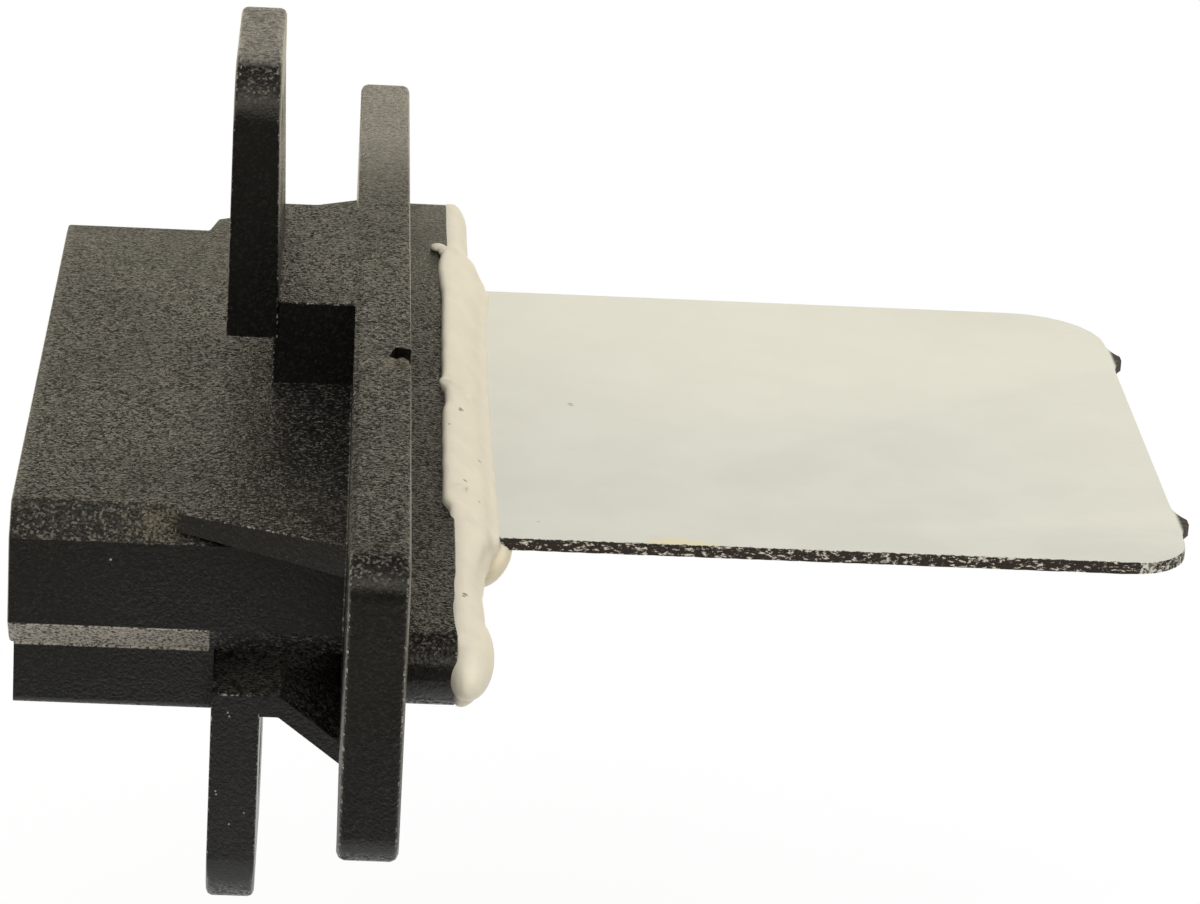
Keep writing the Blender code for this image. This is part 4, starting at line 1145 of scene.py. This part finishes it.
def cutout_case(values):
    """The cut-out's drawn case, with a rounded closed end and a crimped groove."""
    low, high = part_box("fuse_case")
    radius = (high.z - low.z) / 2
    half = (high.x - low.x) / 2
    soft = 0.28 * MM
    groove = 0.16 * MM
    crimp = half - 1.25 * MM
    case = turned_shape("fuse_case_can", (low + high) / 2, [
        (-half, 0.0),
        (-half, radius - 2 * soft),
        (-half + soft * 0.3, radius - soft),
        (-half + soft, radius - soft * 0.3),
        (-half + 2 * soft, radius),
        (crimp - 0.45 * MM, radius),
        (crimp - 0.25 * MM, radius - groove * 0.5),
        (crimp - 0.1 * MM, radius - groove),
        (crimp + 0.1 * MM, radius - groove),
        (crimp + 0.25 * MM, radius - groove * 0.5),
        (crimp + 0.45 * MM, radius),
        (half - soft, radius),
        (half - soft * 0.3, radius - soft * 0.3),
        (half, radius - soft),
        (half, 0.0),
    ])
    metal = metal_finish("drawn_case_metal", values.tin, 0.26, (0.1, 1.0, 1.0), CASE_TARNISH)
    dress(smooth(case), "fuse_case_metal", metal, "fuse_case")


def cutout_seal(values):
    """The resin cone that closes the case round its lead, and reaches a little way into it."""
    case_low, case_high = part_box("fuse_case")
    axis = (case_low + case_high) / 2
    low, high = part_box("fuse_seal")
    base = high.x - low.x
    neck = (high.z - low.z) / 2
    inside = 0.3 * MM
    seal = turned_shape("fuse_seal_cone", (low.x, axis.y, axis.z), [
        (-inside, 0.0),
        (-inside, neck),
        (0.12 * base, neck * 0.985),
        (0.3 * base, neck * 0.86),
        (0.55 * base, neck * 0.66),
        (0.8 * base, neck * 0.47),
        (0.95 * base, neck * 0.38),
        (base, neck * 0.28),
        (base, 0.0),
    ])
    dress(smooth(seal, math.radians(50)), "fuse_resin", resin_finish(values), "fuse_seal")


def cutout_leads(values):
    """The cut-out's two tinned wires, smoothed round their bends."""
    tin = metal_finish("tinned_lead", values.tin, 0.24, (0.3, 1.0, 1.0), CASE_TARNISH)
    for node in numbered("fuse_lead_"):
        lead = merged_copy(node, node + "_wire")
        rounded = lead.modifiers.new("round", "SUBSURF")
        rounded.levels = 1
        rounded.render_levels = 1
        apply_modifiers(lead)
        dress(smooth(lead, math.radians(60)), "lead_plating", tin, node)


class RESISTOR_OT_thermal_cutout(bpy.types.Operator):
    """Turn the cut-out's case and seal, and form its leads."""

    bl_idname = "resistor.thermal_cutout"
    bl_label = "Thermal cut-out"

    def execute(self, context):
        values = context.scene.resistor_underside
        cutout_case(values)
        cutout_seal(values)
        cutout_leads(values)
        return {"FINISHED"}


def flow_solder(node, lead, side):
    """A puddle and a hump of solder on one foot of the cut-out, cut off flat at the card."""
    low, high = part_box(node)
    foot_low, foot_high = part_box(lead)
    outer = (high.x if side > 0 else low.x) / MM
    tip = (foot_high.x if side > 0 else foot_low.x) / MM
    y = (low.y + high.y) / 2 / MM
    inner = tip - side * WETTED_FOOT
    puddle = ((outer + inner) / 2, y, CARD_LOW.z / MM - FILM_DROP)
    joint = join([
        ellipsoid(node + "_flow", puddle, (abs(outer - inner) / 2, 1.16, 0.62)),
        ellipsoid(node + "_hump", (tip - side * 0.45, y, -1.12), (1.0, 0.62, 0.52)),
    ], node + "_joint")
    fuse(joint, 0.08 * MM, 5)
    edit(joint)
    bpy.ops.mesh.bisect(
        plane_co=(0, 0, CARD_LOW.z), plane_no=(0, 0, 1), use_fill=True, clear_outer=True)
    leave_edit()
    return smooth(joint, math.radians(60))


class RESISTOR_OT_solder(bpy.types.Operator):
    """Flow solder over the cut-out's feet, and finish the joints inside the housing."""

    bl_idname = "resistor.solder"
    bl_label = "Solder joints"

    def execute(self, context):
        values = context.scene.resistor_underside
        finish = metal_finish("flowed_solder", values.solder, 0.3, (1.0, 1.0, 1.0), SOLDER_TARNISH)
        dress(flow_solder("fuse_solder_1", "fuse_lead_1", -1), "solder", finish, "fuse_solder_1")
        dress(flow_solder("fuse_solder_2", "fuse_lead_2", 1), "solder", finish, "fuse_solder_2")
        refinish(numbered("terminal_solder_"), finish)
        return {"FINISHED"}


class RESISTOR_OT_terminals(bpy.types.Operator):
    """Round the blades' edges and give them tin plating."""

    bl_idname = "resistor.terminals"
    bl_label = "Terminals"

    def execute(self, context):
        values = context.scene.resistor_underside
        finish = metal_finish("tinned_blade", values.tin, 0.28, (0.08, 1.0, 1.0), BLADE_TARNISH)
        for node in numbered("terminal_"):
            blade = merged_copy(node, node + "_blade")
            bevel_sharp(blade, math.radians(30), 0.035 * MM, 2)
            smooth(blade)
            dress(blade, "terminal_plating", finish, node)
        return {"FINISHED"}


# Stage

WHITE = (1.0, 1.0, 1.0, 1.0)

# The reflector's width, and how far it reaches under the origin
PANEL_WIDTH = 0.8
PANEL_SINK = 0.1

# Each soft lamp: its name, its place, its width and its power in watts
LAMPS = (
    ("front_softbox", (-0.25, -0.80, 0.80), 0.62, 6.0),
    ("top_fill", (0.15, 0.25, 1.1), 0.9, 3.0),
)


def floor_finish(radius):
    """A white table that keeps a soft shadow near its middle and fades into the white backdrop."""
    made = Finish("white_table", 0.6)
    made.shader.inputs["Base Color"].default_value = (0.88, 0.88, 0.87, 1.0)
    path = made.node("ShaderNodeLightPath").outputs
    seen = made.either(path["Is Camera Ray"], path["Is Glossy Ray"], path["Is Transmission Ray"])
    distance = made.node("ShaderNodeVectorMath", {0: made.place}, operation="LENGTH").outputs["Value"]
    keep = made.span(distance, 0.3 * radius, 0.95 * radius, 0.14, 0.0)
    white = made.node("ShaderNodeEmission", {"Color": WHITE, "Strength": 1.0})
    share = made.maths("MULTIPLY", seen, made.maths("SUBTRACT", 1.0, keep))
    joined = made.node("ShaderNodeMixShader", {
        0: share, 1: made.shader.outputs[0], 2: white.outputs[0]})
    made.tree.links.new(joined.outputs[0], made.tree.nodes["Material Output"].inputs["Surface"])
    return made.material


# What gloss mirrors, by the angle from the far horizon up over the part: degrees and brightness
MIRRORED = (
    (-180, 0.08),
    (-168, 0.30),
    (-150, 0.36),
    (-125, 0.9),
    (-95, 1.4),
    (-30, 1.4),
    (-4, 1.25),
    (2, 0.25),
    (30, 0.12),
    (98, 0.16),
    (108, 0.6),
    (120, 1.9),
    (146, 1.9),
    (156, 0.20),
    (180, 0.08),
)


def studio_world():
    """White to the eye, even soft light on matt surfaces, and a studio for gloss to mirror."""
    world = bpy.data.worlds.new("studio")
    bpy.context.scene.world = world
    world.use_nodes = True
    tree = world.node_tree
    tree.nodes.clear()
    node = partial(add_node, tree)
    ways = node("ShaderNodeSeparateXYZ", {0: node("ShaderNodeTexCoord").outputs["Generated"]}).outputs
    angle = node("ShaderNodeMath", {0: ways[Z], 1: ways[Y]}, operation="ARCTAN2").outputs[0]
    share = node("ShaderNodeMapRange", {"Value": angle, 1: -math.pi, 2: math.pi}).outputs[0]
    ramp = node("ShaderNodeValToRGB", {0: share})
    stops = ramp.color_ramp.elements
    while len(stops) < len(MIRRORED):
        stops.new(0.5)
    for stop, (degrees, glow) in zip(stops, MIRRORED):
        stop.position = (degrees + 180) / 360
        stop.color = (glow, glow * 0.94, glow * 0.77, 1.0)
    ambient = node("ShaderNodeBackground", {"Color": (1.0, 0.985, 0.955, 1), "Strength": 0.62})
    backdrop = node("ShaderNodeBackground", {"Color": ramp.outputs[0], "Strength": 1.0})
    white = node("ShaderNodeBackground", {"Color": WHITE, "Strength": 1.0})
    path = node("ShaderNodeLightPath").outputs
    gloss = node("ShaderNodeMath", {0: path["Is Glossy Ray"], 1: path["Is Transmission Ray"]},
                 operation="MAXIMUM").outputs[0]
    mirrored = node("ShaderNodeMixShader", {0: gloss, 1: ambient.outputs[0], 2: backdrop.outputs[0]})
    seen = node("ShaderNodeMixShader", {
        0: path["Is Camera Ray"], 1: mirrored.outputs[0], 2: white.outputs[0]})
    node("ShaderNodeOutputWorld", {"Surface": seen.outputs[0]})


def reflector(values):
    """A white panel close behind the part, seen only in its gloss."""
    finish = Finish("reflector_white", 1.0)
    glow = finish.node("ShaderNodeEmission", {
        "Color": (1.0, 0.92, 0.72, 1.0), "Strength": values.panel_glow})
    finish.tree.links.new(glow.outputs[0], finish.tree.nodes["Material Output"].inputs["Surface"])
    bpy.ops.object.select_all(action="DESELECT")
    height = values.panel_top + PANEL_SINK
    bpy.ops.mesh.primitive_plane_add(
        size=1.0, location=(0, values.panel_distance, values.panel_top - height / 2),
        rotation=(math.pi / 2, 0, 0))
    panel = bpy.context.object
    panel.name = "reflector"
    panel.scale = (PANEL_WIDTH, height, 1.0)
    panel.data.materials.append(finish.material)
    panel.visible_camera = False
    panel.visible_diffuse = False
    panel.visible_shadow = False


def aim_camera(values):
    """The camera at the photograph's place and angle."""
    data = bpy.data.cameras.new("camera")
    data.lens = values.lens
    data.sensor_width = 36.0
    data.clip_start = 0.01
    data.clip_end = 10.0
    camera = bpy.data.objects.new("camera", data)
    bpy.context.scene.collection.objects.link(camera)
    camera.matrix_world = (
        Matrix.Translation(values.place)
        @ Matrix.Rotation(-values.turn, 4, "Z")
        @ Matrix.Rotation(math.pi / 2 - values.elevation, 4, "X")
        @ Matrix.Rotation(values.roll, 4, "Z"))
    bpy.context.scene.camera = camera


def softbox(name, place, size, power):
    """A square soft lamp aimed at the part, which gloss doesn't mirror."""
    bpy.ops.object.select_all(action="DESELECT")
    bpy.ops.object.light_add(type="AREA", location=place)
    lamp = bpy.context.object
    lamp.name = name
    lamp.data.shape = "SQUARE"
    lamp.data.size = size
    lamp.data.energy = power
    lamp.rotation_euler = (-Vector(place)).to_track_quat("-Z", "Y").to_euler()
    lamp.visible_glossy = False


class RESISTOR_OT_stage(bpy.types.Operator):
    """Set the floor, the white surround, the soft lamps and the camera."""

    bl_idname = "resistor.stage"
    bl_label = "Stage"

    def execute(self, context):
        values = context.scene.resistor_stage
        bpy.ops.object.select_all(action="DESELECT")
        bpy.ops.mesh.primitive_circle_add(
            vertices=96, radius=values.floor_radius, fill_type="NGON",
            location=(0, 0, CAD_BOX[0].z - values.floor_drop))
        floor = context.object
        floor.name = "floor"
        floor.data.materials.append(floor_finish(values.floor_radius))
        reflector(values)
        studio_world()
        for lamp in LAMPS:
            softbox(*lamp)
        aim_camera(values)
        context.scene.view_settings.view_transform = "Standard"
        return {"FINISHED"}


class RESISTOR_PT_panel(bpy.types.Panel):
    """The resistor's operators and settings."""

    bl_idname = "RESISTOR_PT_panel"
    bl_label = "Blower motor resistor"
    bl_space_type = "VIEW_3D"
    bl_region_type = "UI"
    bl_category = "Resistor"

    def draw(self, context):
        for operator in OPERATORS:
            self.layout.operator(operator.bl_idname)
        for name, group in SETTINGS.items():
            box = self.layout.box()
            for field in group.__annotations__:
                box.prop(getattr(context.scene, name), field)


SETTINGS = {
    "resistor_housing": HousingSettings,
    "resistor_sealant": SealantSettings,
    "resistor_card": CardSettings,
    "resistor_underside": UndersideSettings,
    "resistor_stage": StageSettings,
}
OPERATORS = (
    RESISTOR_OT_housing,
    RESISTOR_OT_sealant,
    RESISTOR_OT_card,
    RESISTOR_OT_printed_circuit,
    RESISTOR_OT_thermal_cutout,
    RESISTOR_OT_solder,
    RESISTOR_OT_terminals,
    RESISTOR_OT_stage,
)


def register():
    """Register the settings, the operators and the panel."""
    for name, group in SETTINGS.items():
        bpy.utils.register_class(group)
        setattr(bpy.types.Scene, name, PointerProperty(type=group))
    for operator in OPERATORS:
        bpy.utils.register_class(operator)
    bpy.utils.register_class(RESISTOR_PT_panel)


def unregister():
    """Remove what register added."""
    bpy.utils.unregister_class(RESISTOR_PT_panel)
    for operator in reversed(OPERATORS):
        bpy.utils.unregister_class(operator)
    for name, group in SETTINGS.items():
        delattr(bpy.types.Scene, name)
        bpy.utils.unregister_class(group)


def main():
    """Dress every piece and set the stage."""
    register()
    bpy.ops.resistor.housing()
    bpy.ops.resistor.sealant()
    bpy.ops.resistor.card()
    bpy.ops.resistor.printed_circuit()
    bpy.ops.resistor.thermal_cutout()
    bpy.ops.resistor.solder()
    bpy.ops.resistor.terminals()
    bpy.ops.resistor.stage()


if __name__ == "__main__":
    main()
